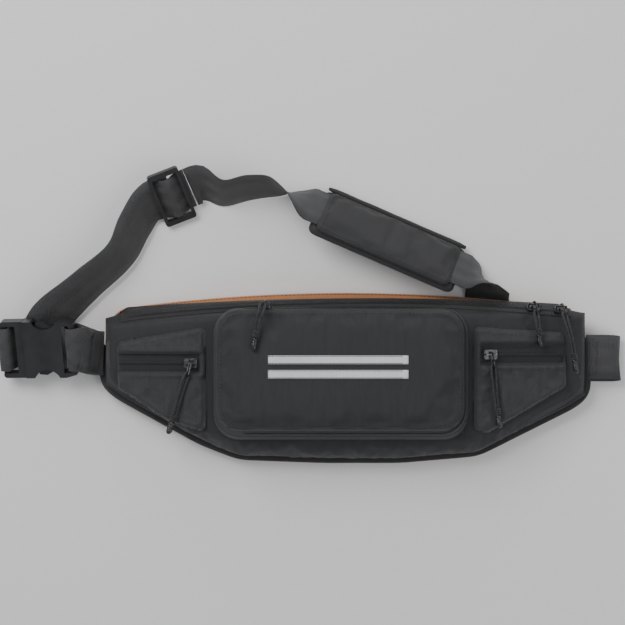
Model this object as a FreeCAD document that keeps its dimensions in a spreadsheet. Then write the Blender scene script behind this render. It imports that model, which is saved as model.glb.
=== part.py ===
"""Sling waist pack: a padded bag with three zipped pockets, a webbing strap with a shoulder pad,
a tri-glide adjuster and a side-release buckle.

Frame: millimetres, the bag lies on its back panel at Z = 0, its face towards +Z and its zip towards +Y.
"""
import FreeCAD, Part

import math
import os

import Sketcher
from FreeCAD import Matrix, Placement, Rotation, Vector

os.makedirs("parts", exist_ok=True)
doc = FreeCAD.newDocument("sling_pack")

# ---------------------------------------------------------------- driving dimensions
SIZES = {
    # bag
    "bag_half": 200.0, "shoulder_x": 181.0, "shoulder_y": 57.5, "end_high": 42.0, "end_low": -10.0,
    "bottom_y": -68.5, "top_y": 64.0, "back_arc": 1850.0, "back_shoulder": 55.5, "back_depth": 14.0,
    "back_round": 5.0, "skin": 1.6, "pad_skin": 4.6, "channel_deep": 3.0, "foam_gap": 0.2,
    "face_z": 38.0, "slope_left": -108.0, "slope_right": 101.0, "slope_angle": 8.0,
    "seam_gap": 0.3, "binding_wide": 6.0, "binding_thick": 1.2,
    # top zip: an arc in a plane leaning back
    "zip_x": 20.0, "zip_y": 59.8, "zip_z": 29.5, "zip_radius": 1343.0, "zip_lean": 40.0,
    "zip_left": 8.85, "zip_right": 7.15, "tape_wide": 11.0, "tape_thick": 0.8, "band_lean": 45.0,
    "coil_wide": 2.6, "coil_high": 0.9,
    # centre pocket
    "centre_left": -108.0, "centre_right": 100.0, "centre_low": -52.0, "centre_high": 55.0,
    "centre_round": 20.0, "gusset_high": 7.8, "tape_ring_high": 8.4, "panel_high": 5.6, "wall": 1.4,
    "strip_long": 113.0, "strip_wide": 7.0, "strip_thick": 0.3,
    # side pockets
    "pocket_high": 5.0, "window_long": 70.0, "window_wide": 16.0,
    # webbing and strap hardware
    "webbing_wide": 38.0, "webbing_thick": 1.2, "buckle_wide": 49.0, "buckle_thick": 12.4,
    "frame_thick": 9.0, "bar_thick": 6.0, "slot_wide": 41.0, "glide_long": 50.0, "glide_thick": 4.0,
    # shoulder pad
    "pad_long": 130.0, "pad_wide": 50.0, "pad_thick": 5.0, "flap_long": 118.0, "flap_thick": 2.2,
    # sliders and pulls
    "slider_long": 11.0, "slider_wide": 8.0, "slider_high": 2.3, "bar_height": 5.6, "bar_size": 1.2,
    "link_long": 8.0, "link_inner": 3.0, "link_outer": 5.0, "link_thick": 1.0,
    "cord_thick": 2.0, "bead_thick": 5.4, "bead_long": 9.0,
}
sheet = doc.addObject("Spreadsheet::Sheet", "dims")
for row, (alias, number) in enumerate(SIZES.items(), 1):
    sheet.set(f"A{row}", alias)
    sheet.set(f"B{row}", str(number))
    sheet.setAlias(f"B{row}", alias)
doc.recompute()


class Dim:
    """A length worked out from the sheet: its value now, and the expression that keeps it bound."""

    def __init__(self, value, text):
        self.value, self.text = value, text

    def __add__(self, other):
        return Dim(self.value + dim(other).value, f"({self.text} + {dim(other).text})")

    def __sub__(self, other):
        return Dim(self.value - dim(other).value, f"({self.text} - {dim(other).text})")

    def __mul__(self, factor):
        return Dim(self.value * factor, f"({self.text} * {factor})")

    def __neg__(self):
        return self * -1


def dim(number):
    return number if isinstance(number, Dim) else Dim(float(number), repr(float(number)))


def cell(alias):
    return Dim(float(getattr(sheet, alias)), f"dims.{alias}")


def size(alias):
    return float(getattr(sheet, alias))


def bind(target, path, length):
    if "dims." in length.text:
        target.setExpression(path, length.text)


# ---------------------------------------------------------------- sketches and features
def new_body(label):
    body = doc.addObject("PartDesign::Body", label)
    body.Label = label
    return body


def sketch_on(body, role, offset=0.0):
    """A sketch on the body's own XY, XZ or YZ plane, moved along the plane's normal."""
    sketch = body.newObject("Sketcher::SketchObject", body.Label + "_sketch")
    plane = [f for f in body.Origin.OriginFeatures if f.Role == role][0]
    sketch.AttachmentSupport = (plane, [""])
    sketch.MapMode = "FlatFace"
    sketch.AttachmentOffset = Placement(Vector(0, 0, dim(offset).value), Rotation())
    bind(sketch, ".AttachmentOffset.Base.z", dim(offset))
    return sketch


def outline(sketch, corners, arcs=()):
    """A closed outline through corners; arcs maps a side's number to (rise, radius) of a curved side."""
    arcs = dict(arcs)
    points = [Vector(dim(x).value, dim(y).value, 0) for x, y in corners]
    edges = []
    for number, start in enumerate(points):
        end = points[(number + 1) % len(points)]
        if number in arcs:
            rise, radius = arcs[number]
            side = Vector(start.y - end.y, end.x - start.x, 0).normalize() * rise
            edge = sketch.addGeometry(Part.Arc(start, (start + end) * 0.5 + side, end), False)
            flipped = sketch.Geometry[edge].StartPoint.distanceToPoint(start) > 0.01
            index = sketch.addConstraint(Sketcher.Constraint("Radius", edge, dim(radius).value))
            bind(sketch, f"Constraints[{index}]", dim(radius))
        else:
            edge = sketch.addGeometry(Part.LineSegment(start, end), False)
            flipped = False
        edges.append((edge, 2 if flipped else 1, 1 if flipped else 2))
    for number, (edge, _, last) in enumerate(edges):
        follower, first, _ = edges[(number + 1) % len(edges)]
        sketch.addConstraint(Sketcher.Constraint("Coincident", edge, last, follower, first))
    for (edge, first, _), (x, y) in zip(edges, corners):
        for kind, length in (("DistanceX", dim(x)), ("DistanceY", dim(y))):
            rule = Sketcher.Constraint(kind, -1, 1, edge, first, length.value)
            bind(sketch, f"Constraints[{sketch.addConstraint(rule)}]", length)


def rectangle(sketch, x0, y0, x1, y1):
    outline(sketch, [(x0, y0), (x1, y0), (x1, y1), (x0, y1)])


def circle(sketch, x, y, radius):
    edge = sketch.addGeometry(Part.Circle(Vector(dim(x).value, dim(y).value, 0), Vector(0, 0, 1),
                                          dim(radius).value), False)
    place = (("DistanceX", dim(x)), ("DistanceY", dim(y)))
    for kind, length in place:
        rule = Sketcher.Constraint(kind, -1, 1, edge, 3, length.value)
        bind(sketch, f"Constraints[{sketch.addConstraint(rule)}]", length)
    bind(sketch, f"Constraints[{sketch.addConstraint(Sketcher.Constraint('Radius', edge, dim(radius).value))}]",
         dim(radius))


def pad(body, sketch, length):
    feature = body.newObject("PartDesign::Pad", body.Label + "_pad")
    feature.Profile = sketch
    feature.Length = dim(length).value
    bind(feature, "Length", dim(length))
    return feature


def pocket(body, sketch, length):
    """Cuts along the normal of the sketch's plane."""
    feature = body.newObject("PartDesign::Pocket", body.Label + "_pocket")
    feature.Profile = sketch
    feature.Length = dim(length).value
    feature.Reversed = True
    bind(feature, "Length", dim(length))
    return feature


def block(body, corners, low, high, arcs=()):
    sketch = sketch_on(body, "XY_Plane", low)
    outline(sketch, corners, arcs)
    return pad(body, sketch, dim(high) - dim(low))


def hollow(body, corners, low, high, arcs=()):
    sketch = sketch_on(body, "XY_Plane", low)
    outline(sketch, corners, arcs)
    return pocket(body, sketch, dim(high) - dim(low))


def box_corners(x0, y0, x1, y1):
    return [(x0, y0), (x1, y0), (x1, y1), (x0, y1)]


def round_edges(body, radius, chosen):
    """Fillets the edges of the body's tip that the chosen test picks."""
    doc.recompute()
    tip = body.Tip
    names = [f"Edge{n}" for n, edge in enumerate(tip.Shape.Edges, 1) if chosen(edge)]
    fillet = body.newObject("PartDesign::Fillet", body.Label + "_fillet")
    fillet.Base = (tip, names)
    fillet.Radius = dim(radius).value
    bind(fillet, "Radius", dim(radius))
    return fillet


def upright(edge):
    ends = [v.Point for v in edge.Vertexes]
    return len(ends) == 2 and abs((ends[1] - ends[0]).normalize().z) > 0.99


def at_height(height):
    return lambda edge: all(abs(v.Z - height) < 0.01 for v in edge.Vertexes)


# ---------------------------------------------------------------- free shapes
def feature_of(label, shape, place=None):
    item = doc.addObject("Part::Feature", label)
    item.Label = label
    item.Shape = shape
    item.Placement = place or Placement()
    return item


def ruled_solid(loops):
    return Part.makeLoft([Part.makePolygon(loop + loop[:1]) for loop in loops], True, True)


def faceted_solid(loops):
    """A closed solid through four-cornered loops, each side between two loops split into triangles.

    Facing sides are split along the same diagonal, so that a thin band keeps its thickness where it twists.
    """
    faces = [Part.Face(Part.makePolygon([*loops[0], loops[0][0]])),
             Part.Face(Part.makePolygon([*loops[-1], loops[-1][0]]))]
    for near, far in zip(loops, loops[1:]):
        for number in range(len(near)):
            a, b = near[number], near[(number + 1) % len(near)]
            c, d = far[(number + 1) % len(near)], far[number]
            if number < 2:
                halves = [(a, b, c), (a, c, d)]
            else:
                halves = [(a, b, d), (b, c, d)]
            faces += [Part.Face(Part.makePolygon([*half, half[0]])) for half in halves]
    shell = Part.makeShell(faces)
    shell.sewShape()
    solid = Part.Solid(shell)
    return solid if solid.Volume > 0 else solid.reversed()


def slope_at(stations, number, part):
    """How fast a station's centre (part 0) or width direction (part 1) changes per millimetre of run."""
    before, here, after = stations[max(number - 1, 0)], stations[number], stations[min(number + 1, len(stations) - 1)]
    back, ahead = (here[0] - before[0]).Length, (after[0] - here[0]).Length
    if not back or not ahead:
        return (after[part] - before[part]) / (back + ahead)
    return ((here[part] - before[part]) * (ahead / back) + (after[part] - here[part]) * (back / ahead)) / (back + ahead)


def smooth_stations(stations, steps):
    """Points on a smooth curve through the stations; each station is (centre, width direction)."""
    out = []
    for number in range(len(stations) - 1):
        near, far = stations[number], stations[number + 1]
        run = (far[0] - near[0]).Length
        for step in range(steps):
            t = step / steps
            out.append([near[part] * (2 * t**3 - 3 * t**2 + 1) + far[part] * (3 * t**2 - 2 * t**3)
                        + slope_at(stations, number, part) * (run * (t**3 - 2 * t**2 + t))
                        + slope_at(stations, number + 1, part) * (run * (t**3 - t**2)) for part in (0, 1)])
    return out + [list(stations[-1])]


def ribbon(stations, wide, thick, steps=3):
    """A band of webbing through the stations, twisting with their width directions."""
    line = smooth_stations(stations, steps)
    loops = []
    for number, (centre, across) in enumerate(line):
        along = line[min(number + 1, len(line) - 1)][0] - line[max(number - 1, 0)][0]
        across = (across - along * (across.dot(along) / along.Length**2)).normalize()
        face = along.cross(across).normalize()
        half_wide, half_thick = across * (wide / 2), face * (thick / 2)
        loops.append([centre - half_wide - half_thick, centre + half_wide - half_thick,
                      centre + half_wide + half_thick, centre - half_wide + half_thick])
    return faceted_solid(loops)


def across(heading, roll):
    """The width direction of a strap heading that way in plan, its left edge raised by the roll."""
    left = Rotation(Vector(0, 0, 1), 90).multVec(Vector(heading[0], heading[1], 0)).normalize()
    return left * math.cos(math.radians(roll)) + Vector(0, 0, math.sin(math.radians(roll)))


def cord(label, route, thick):
    """A round cord along straight runs joined by tangent arcs; prints its length and radii."""
    points = [Vector(*p) for p in route]
    edges, start, radii = [], points[0], []
    for before, corner, after in zip(points, points[1:], points[2:]):
        back, ahead = (before - corner), (after - corner)
        half_turn = (math.pi - back.getAngle(ahead)) / 2
        radius = 0.45 * min(back.Length, ahead.Length) / math.tan(half_turn)
        reach = radius * math.tan(half_turn)
        back, ahead = back.normalize(), ahead.normalize()
        middle = corner + (back + ahead).normalize() * radius * (1 / math.cos(half_turn) - 1)
        edges += [Part.LineSegment(start, corner + back * reach).toShape(),
                  Part.Arc(corner + back * reach, middle, corner + ahead * reach).toShape()]
        start = corner + ahead * reach
        radii.append(round(radius, 1))
    edges.append(Part.LineSegment(start, points[-1]).toShape())
    path = Part.Wire(edges)
    ring = Part.Wire(Part.makeCircle(thick / 2, points[0], points[1] - points[0]))
    tube = path.makePipeShell([ring], True, False)
    share = tube.Volume / (math.pi * thick**2 / 4 * path.Length)
    print(f"{label}: length {path.Length:.1f} mm, volume share {share:.3f}, radii {radii}")
    return feature_of(label, tube)


# ---------------------------------------------------------------- bag: back
def lower_outline(grow=0.0):
    """The bag's ends and lower edge, counter-clockwise from the left end's top to the right end's."""
    half, low = cell("bag_half"), cell("bottom_y")
    return [(-half - grow, cell("end_high")), (-half - grow, cell("end_low") + 4), (half * -0.95, dim(-15) - grow),
            (half * -0.6, dim(-53.5) - grow), (half * -0.44, low + 2.5 - grow), (half * -0.1, low - grow),
            (half * 0.23, low - grow), (half * 0.55, low + 5.5 - grow), (half * 0.95, dim(-23) - grow),
            (half + grow, cell("end_low") - 5), (half + grow, cell("end_high") - 4)]


def back_outline(inset):
    points = [(x, y) for x, y in lower_outline(-inset)]
    return points + [(cell("shoulder_x") + 6 - inset, cell("back_shoulder") - inset),
                     (-cell("shoulder_x") + inset, cell("back_shoulder") - inset)]


BACK_ARC = 11
CHANNEL = {"x0": 97.0, "x1": 141.0, "x2": 203.0, "y0": -9.0, "y1": 34.0, "y2": 74.0}


def channel_corners(grow):
    """An L: the strap runs down behind the bag and folds towards its right end."""
    c = CHANNEL
    return [(c["x0"] - grow, c["y0"] - grow), (c["x2"] + grow, c["y0"] - grow), (c["x2"] + grow, c["y1"] + grow),
            (c["x1"] + grow, c["y1"] + grow), (c["x1"] + grow, c["y2"] + grow), (c["x0"] - grow, c["y2"] + grow)]


def back_arc(inset):
    return {BACK_ARC: (-12.0, cell("back_arc") - inset)}


def build_back():
    panel = new_body("back_panel")
    block(panel, back_outline(0), 0, cell("back_depth"), back_arc(0))
    round_edges(panel, cell("back_round"), at_height(0))
    hollow(panel, back_outline(size("skin")), cell("pad_skin"), cell("back_depth") + 1, back_arc(size("skin")))
    hollow(panel, channel_corners(0), -1, cell("channel_deep"))
    foam = new_body("back_foam")
    inset = size("skin") + size("foam_gap")
    block(foam, back_outline(inset), cell("pad_skin") + cell("foam_gap"), cell("back_depth") - 0.4, back_arc(inset))


# ---------------------------------------------------------------- bag: front
def zip_place(degrees, rise=0.0, down_band=0.0):
    """A point of the top zip: an angle to the right along its arc, a height off it, a way down the band."""
    lean, band = math.radians(size("zip_lean")), math.radians(size("band_lean"))
    apex = Vector(size("zip_x"), size("zip_y"), size("zip_z"))
    centre = apex - Vector(0, math.cos(lean), math.sin(lean)) * size("zip_radius")
    axis = Vector(0, -math.sin(lean), math.cos(lean))
    normal = Vector(0, math.sin(band), math.cos(band))
    down = Vector(0, -math.cos(band), math.sin(band))
    point = apex + normal * rise + down * down_band
    return centre + Rotation(axis, -degrees).multVec(point - centre), centre, axis


def face_height(x):
    slope = math.tan(math.radians(size("slope_angle")))
    beyond = max(0.0, size("slope_left") - x, x - size("slope_right"))
    return size("face_z") - beyond * slope


def edge_between(points, x):
    for (xa, ya), (xb, yb) in zip(points, points[1:]):
        if xa <= x <= xb:
            return ya + (yb - ya) * (x - xa) / (xb - xa)
    return points[0][1] if x < points[0][0] else points[-1][1]


def shell_section(x, inset):
    """The bag's front cut across at x: seam edge, zip band, face and lower slope."""
    low = [(dim(a).value, dim(b).value) for a, b in lower_outline()][1:]
    bottom = edge_between(low[:-1], x) + inset
    half, shoulder = size("bag_half"), size("shoulder_x")
    arc_top = size("top_y") - (x - size("zip_x")) ** 2 / (2 * 2700)
    top = min(arc_top, size("end_high") + (half - abs(x)) / (half - shoulder) * 15.5) - inset
    lift = max(0.0, (abs(x - 1) - 186) * 0.8)
    degrees = math.degrees(math.asin((x - size("zip_x")) / size("zip_radius")))
    gap = -0.25 - inset
    outer, _, _ = zip_place(degrees, gap, -size("tape_wide") / 2 + 0.4)
    inner, _, _ = zip_place(degrees, gap, size("tape_wide") / 2 - 0.4)
    outer_y, inner_y = min(outer.y, top), min(inner.y, top - 4) - lift
    face = face_height(x) - inset
    base = size("back_depth") + size("seam_gap")
    inner_z = min(inner.z, face - 0.5)
    outer_z = max(min(outer.z, inner_z - 1.5), base + 0.9)
    return [Vector(x, bottom, base), Vector(x, top, base), Vector(x, top, outer_z - 0.6),
            Vector(x, outer_y - 0.2, outer_z), Vector(x, inner_y, inner_z), Vector(x, inner_y - 2.0, face),
            Vector(x, min(bottom + 16, inner_y - 8), face), Vector(x, bottom, min(face - 6, base + 8))]


STATIONS = [-200, -196, -190, -176, -160, -140, -120, -108, -88, -60, -20, 20, 46, 75, 101, 110, 130, 155,
            172, 190, 196, 200]


def shell_solid(inset):
    ends = size("bag_half") - inset
    return ruled_solid([shell_section(max(-ends, min(ends, x)), inset) for x in STATIONS
                        if abs(x) < ends or abs(x) == size("bag_half")])


def build_front():
    skin, cloth, gap = size("skin"), 0.4, 0.15
    floor = Part.makeBox(500, 300, 20, Vector(-250, -150, size("back_depth") + size("seam_gap") - 20))
    outer, inner = shell_solid(0), shell_solid(skin)
    feature_of("front_shell", outer.cut(inner))
    lining = shell_solid(skin + gap).cut(shell_solid(skin + gap + cloth))
    feature_of("lining", lining.cut(floor))
    points = [Vector(dim(x).value, dim(y).value, size("back_depth") - 2.5) for x, y in back_outline(0)]
    face = Part.Face(Part.makePolygon(points + points[:1]))
    near = face.makeOffset2D(0.3)
    ring = face.makeOffset2D(0.3 + size("binding_thick")).cut(near)
    binding = ring.extrude(Vector(0, 0, size("binding_wide")))
    keep_low = Part.makeBox(500, 130, 40, Vector(-250, -100, 0))
    for high in (Part.makeBox(12, 44, 40, Vector(-206, -6, 0)), Part.makeBox(12, 46, 40, Vector(196, -11, 0))):
        keep_low = keep_low.cut(high)
    feature_of("edge_binding", binding.common(keep_low))


def revolved_band(label, low, high, wide, left, right):
    """A strip swept along the top zip's arc, from low to high above it."""
    corners = [zip_place(0, *place)[0] for place in
               ((low, -wide / 2), (low, wide / 2), (high, wide / 2), (high, -wide / 2))]
    _, centre, axis = zip_place(0)
    face = Part.Face(Part.makePolygon(corners + corners[:1]))
    face.rotate(centre, axis, left)
    return feature_of(label, face.revolve(centre, axis, -(left + right)))


def build_top_zip():
    thick = size("tape_thick")
    left, right = size("zip_left"), size("zip_right")
    revolved_band("top_zipper_tape", 0, thick, size("tape_wide"), left, right)
    revolved_band("top_zipper_coil", thick + 0.02, thick + size("coil_high"), size("coil_wide"), left - 0.2, right - 0.2)


# ---------------------------------------------------------------- centre pocket
def rounded_ring(label, low, high, inset, drop):
    """One storey of the pocket's wall, stepped in from the storey below."""
    body = new_body(label)
    x0, x1 = cell("centre_left") + inset, cell("centre_right") - inset * 1.6
    y0, y1 = cell("centre_low") + drop, cell("centre_high")
    block(body, box_corners(x0, y0, x1, y1), low, high)
    round_edges(body, cell("centre_round"), upright)
    return body, (x0, y0, x1, y1)


def carve(body, ring, low, high):
    x0, y0, x1, y1 = ring
    wall, cut = cell("wall"), cell("centre_round") - cell("wall")
    corners = [(x0 + wall + cut, y0 + wall), (x1 - wall - cut, y0 + wall), (x1 - wall, y0 + wall + cut),
               (x1 - wall, y1 - wall - cut), (x1 - wall - cut, y1 - wall), (x0 + wall + cut, y1 - wall),
               (x0 + wall, y1 - wall - cut), (x0 + wall, y0 + wall + cut)]
    bulge = -cut.value * (1 - math.cos(math.pi / 4))
    hollow(body, corners, low, high, {side: (bulge, cut) for side in (1, 3, 5, 7)})


def build_centre_pocket():
    base = cell("face_z") + cell("seam_gap")
    zip_low = base + cell("gusset_high") + 0.15
    panel_low = zip_low + cell("tape_ring_high") + 0.15
    gusset, ring = rounded_ring("centre_pocket_gusset", base, base + cell("gusset_high"), 0, 0)
    carve(gusset, ring, base - 1, base + cell("gusset_high") + 1)
    tape, ring = rounded_ring("centre_zipper_tape", zip_low, zip_low + cell("tape_ring_high"), 1, 3)
    carve(tape, ring, zip_low - 1, panel_low + 1)
    coil = new_body("centre_zipper_coil")
    middle = zip_low + cell("tape_ring_high") * 0.5
    x0, _, x1, y1 = ring
    block(coil, box_corners(x0 + cell("centre_round"), y1 + 0.02, x1 - cell("centre_round"),
                            y1 + cell("coil_high")),
          middle - cell("coil_wide") * 0.5, middle + cell("coil_wide") * 0.5)
    shell, ring = rounded_ring("centre_pocket_shell", panel_low, panel_low + cell("panel_high"), 3, 8)
    carve(shell, ring, panel_low - 1, panel_low + cell("panel_high") - 1.6)
    top = panel_low + cell("panel_high")
    for label, y in (("reflective_strip_upper", 13.7), ("reflective_strip_lower", 2.0)):
        strip = new_body(label)
        half = cell("strip_wide") * 0.5
        block(strip, box_corners(-63, dim(y) - half, dim(-63) + cell("strip_long"), dim(y) + half),
              top + 0.02, top + cell("strip_thick"))
    return top.value, middle.value, y1.value


# ---------------------------------------------------------------- side pockets, on the sloping ends
def slope_place(side):
    """The frame of a sloping end of the face: its origin on the fold line, +Z off the cloth."""
    x = size("slope_right") if side > 0 else size("slope_left")
    return Placement(Vector(x, 0, size("face_z") + size("seam_gap")),
                     Rotation(Vector(0, 1, 0), side * size("slope_angle")))


POCKETS = {
    "left": {"side": -1, "corners": [(-82, 28), (-81, -11), (-38, -38), (-7, -47), (-7, 40.5)],
             "window": (-81.5, 2.5)},
    "right": {"side": 1, "corners": [(4, 41), (4, -44), (15, -48), (83, -9), (80, 36), (28, 39)],
              "window": (10.0, 9.5)},
}


def build_side_pocket(name):
    side, (x, y) = POCKETS[name]["side"], POCKETS[name]["window"]
    panel = new_body(f"{name}_pocket_panel")
    block(panel, POCKETS[name]["corners"], 0, cell("pocket_high"))
    round_edges(panel, 3.0, upright)
    window = box_corners(x, y, cell("window_long") + x, cell("window_wide") + y)
    hollow(panel, window, 0.8, cell("pocket_high") + 1)
    tape = new_body(f"{name}_zipper_tape")
    block(tape, box_corners(x + 0.3, y + 0.3, cell("window_long") + x - 0.3, cell("window_wide") + y - 0.3),
          0.9, 1.7)
    coil = new_body(f"{name}_zipper_coil")
    middle = cell("window_wide") * 0.5 + y
    block(coil, box_corners(x + 1, middle - cell("coil_wide") * 0.5, cell("window_long") + x - 1,
                            middle + cell("coil_wide") * 0.5), 1.72, 1.7 + size("coil_high"))
    for piece in (panel, tape, coil):
        piece.Placement = slope_place(side)


# ---------------------------------------------------------------- zip sliders and pulls
def build_slider(label, place):
    """A slider on its coil: local X along the zip, local Z off the tape, the tape's face at zero."""
    body = new_body(label)
    long, wide, high = cell("slider_long"), cell("slider_wide"), cell("slider_high")
    block(body, box_corners(long * -0.5, wide * -0.5, long * 0.5, wide * 0.5), 0.3, dim(0.3) + high)
    round_edges(body, 1.6, upright)
    groove = cell("coil_wide") * 0.5 + 0.35
    hollow(body, box_corners(long * -1, -groove, long, groove), 0, cell("coil_high") + 0.35)
    bar, rise = cell("bar_size") * 0.5, cell("bar_height")
    sketch = sketch_on(body, "XZ_Plane", -bar)
    rectangle(sketch, long * -0.41, high, long * 0.41, rise + bar)
    pad(body, sketch, bar * 2)
    sketch = sketch_on(body, "XZ_Plane", -bar - 0.5)
    rectangle(sketch, long * -0.3, high + 0.3, long * 0.3, rise - bar)
    pocket(body, sketch, bar * 2 + 1)
    body.Placement = place
    return place.multVec(Vector(0, 0, size("bar_height")))


def frame_from(origin, along, beside):
    """A placement at origin whose local X runs along and whose local Y leans to beside."""
    x = Vector(along).normalize()
    z = x.cross(Vector(beside)).normalize()
    y = z.cross(x)
    return Placement(Matrix(x.x, y.x, z.x, origin.x, x.y, y.y, z.y, origin.y, x.z, y.z, z.z, origin.z,
                            0, 0, 0, 1))


def build_link(label, place):
    """A flat wire link round the slider's bar: local X runs from the bar to the cord."""
    body = new_body(label)
    outer, inner, thick = cell("link_outer") * 0.5, cell("link_inner") * 0.5, cell("link_thick")
    long = cell("link_long")
    block(body, box_corners(-outer, -outer, long + outer, outer), thick * -0.5, thick * 0.5)
    round_edges(body, size("link_outer") / 2 - 0.4, upright)
    hollow(body, box_corners(-inner, -inner, long + inner, inner), thick * -1, thick)
    body.Placement = place


def build_bead(label, place):
    """A moulded end that closes the cord's two ends: local X points away from the cord."""
    body = new_body(label)
    sketch = sketch_on(body, "YZ_Plane")
    circle(sketch, 0, 0, cell("bead_thick") * 0.5)
    pad(body, sketch, cell("bead_long"))
    round_edges(body, 1.2, lambda edge: edge.Closed)
    body.Placement = place


# Each pull: the link's direction and the side it leans to, the bend points of the cord's middle line
# beyond the link, and the bead's nearer face.
PULLS = {
    "top_pull_a": {"along": (0.10, -0.72, 0.69), "lean": (0.55, 0.58, 0.60),
                   "middle": [(157.0, 44.0, 41.0)], "end": (158.6, 33.0, 39.4)},
    "top_pull_b": {"along": (0.16, -0.72, 0.67), "lean": (0.55, 0.58, 0.60),
                   "middle": [(181.5, 43.0, 38.6), (186.0, 27.0, 37.8)], "end": (188.2, 12.0, 36.8)},
    "centre_pull": {"along": (-0.12, -0.12, 0.98), "lean": (0.5, 0.86, 0.1),
                    "middle": [(-68.6, 53.0, 69.5), (-71.0, 44.0, 66.6)], "end": (-73.4, 31.0, 65.0)},
    "left_pull": {"along": (-0.22, -0.97, 0.02), "lean": (0.5, 0.0, 0.86),
                  "middle": [(-134.0, -10.0, 43.4), (-137.2, -22.0, 43.0)], "end": (-142.4, -38.0, 42.4)},
    "right_pull": {"along": (0.12, -0.99, 0.02), "lean": (0.5, 0.0, 0.86),
                   "middle": [(121.6, -6.0, 43.6), (122.3, -18.0, 43.5)], "end": (124.6, -32.5, 43.3)},
}


def build_pull(name, bar):
    pull = PULLS[name]
    place = frame_from(bar, pull["along"], pull["lean"])
    build_link(f"{name}_link", place)
    side = place.Rotation.multVec(Vector(0, 0, 1))
    turn = size("link_long") + 0.2
    legs = [place.multVec(Vector(turn, 0, 0)) + side * (2.4 * way) for way in (1, -1)]
    end = Vector(*pull["end"])
    middle = [Vector(*p) for p in pull["middle"]]
    half = [1.9, 1.5][:len(middle)]
    last = (end - middle[-1]).normalize()
    out = [end + side * 1.25] + [p + side * w for p, w in zip(middle[::-1], half[::-1])] + [legs[0]]
    back = [legs[1]] + [p - side * w for p, w in zip(middle, half)] + [end - side * 1.25]
    route = [tuple(round(c, 2) for c in p) for p in out + back]
    cord(f"{name}_cord", route, size("cord_thick"))
    print(f"  {name} route {route}")
    build_bead(f"{name}_end", frame_from(end + last * 1.0, last, side))
    print(f"  {name} hinge at {tuple(round(c, 2) for c in bar)}")


def build_sliders(pocket_top, zip_z, zip_y):
    for name, degrees in (("a", 5.77), ("b", 6.75)):
        point, centre, axis = zip_place(degrees, size("tape_thick"))
        lean = size("band_lean")
        upright_place = Placement(zip_place(0, size("tape_thick"))[0], Rotation(Vector(1, 0, 0), -lean))
        turned = Placement(centre, Rotation(axis, -degrees)).multiply(Placement(-centre, Rotation()))
        bar = build_slider(f"top_slider_{name}", turned.multiply(upright_place))
        print(f"top_slider_{name} axis {axis} centre {centre}")
        build_pull(f"top_pull_{name}", bar)
    place = frame_from(Vector(-66.5, zip_y, zip_z), (1, 0, 0), (0, 0, -1))
    build_pull("centre_pull", build_slider("centre_slider", place))
    for name, x in (("left", -19.0), ("right", 17.5)):
        y = POCKETS[name]["window"][1] + size("window_wide") / 2
        local = Placement(Vector(x, y, 1.7), Rotation())
        place = slope_place(POCKETS[name]["side"]).multiply(local)
        build_pull(f"{name}_pull", build_slider(f"{name}_slider", place))


# ---------------------------------------------------------------- side-release buckle
BUCKLE = Placement(Vector(-254, 22.5, 20.7), Rotation(Vector(0, 0, 1), 1).multiply(
    Rotation(Vector(0, 1, 0), -5)).multiply(Rotation(Vector(1, 0, 0), 18)))
MOUTH, FEMALE_END, MALE_END = -12.0, 31.0, -31.0
ARM_PIVOT = (-9.8, 12.0)


def build_female():
    body = new_body("buckle_female")
    half, thick = cell("buckle_wide") * 0.5, cell("buckle_thick") * 0.5
    block(body, [(MOUTH, -half), (22, -half), (FEMALE_END, dim(2.5) - half), (FEMALE_END, half - 2.5), (22, half),
                 (MOUTH, half)], -thick, thick)
    flare, inner = half - 1.3, half - 3.0
    hollow(body, [(MOUTH - 1, -inner), (-2, -flare), (15, -flare), (17, dim(5) - half), (17, half - 5), (15, flare),
                  (-2, flare), (MOUTH - 1, inner)], -3.7, 3.7)
    hollow(body, box_corners(-2, -half - 1, 14.5, half + 1), -4.2, 4.2)
    for side in (1, -1):
        sketch = sketch_on(body, "XY_Plane", -thick - 1)
        circle(sketch, 6.0, (half + 4.5) * side, 11.5)
        pocket(body, sketch, thick * 2 + 2)
    slot = cell("slot_wide") * 0.5
    hollow(body, box_corners(20.5, -slot, 26.5, slot), -thick - 1, thick + 1)
    body.Placement = BUCKLE


def build_male():
    body = new_body("buckle_male")
    half, thick, slot = cell("buckle_wide") * 0.5, cell("frame_thick") * 0.5, cell("slot_wide") * 0.5
    block(body, box_corners(MALE_END, -half, MOUTH - 0.4, half), -thick, thick)
    round_edges(body, 2.5, lambda edge: upright(edge) and edge.Vertexes[0].X < MALE_END + 1)
    hollow(body, box_corners(-26.5, -slot, -18.5, slot), -thick - 1, thick + 1)
    for low, high in ((-thick - 1, cell("bar_thick") * -0.5), (cell("bar_thick") * 0.5, thick + 1)):
        hollow(body, box_corners(MALE_END - 1, -slot, -26.0, slot), low, high)
    block(body, box_corners(MOUTH - 0.6, -3, 14, 3), -2.6, 2.6)
    body.Placement = BUCKLE


def build_arm(name, side):
    """A springy arm with a latching head; it folds in towards the middle prong to let go."""
    body = new_body(f"release_arm_{name}")
    x, y = ARM_PIVOT[0], ARM_PIVOT[1] * side
    sketch = sketch_on(body, "XY_Plane", -3.0)
    circle(sketch, x, y, 2.0)
    pad(body, sketch, 6.0)
    corners = [(x - 0.3, y - 1.9), (x + 12, y + 2.6 * side - 1.4), (x + 12, y + 2.6 * side + 1.4), (x - 0.3, y + 1.9)]
    block(body, corners, -3.0, 3.0)
    head = [(-1.2, 10.2 * side + y), (5.5, 10.8 * side + y), (13.2, 6.2 * side + y), (13.2, 3.2 * side + y),
            (1.0, 0.6 * side + y), (-1.2, 2.2 * side + y)]
    block(body, head if side < 0 else head[::-1], -3.0, 3.0)
    body.Placement = BUCKLE


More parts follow.
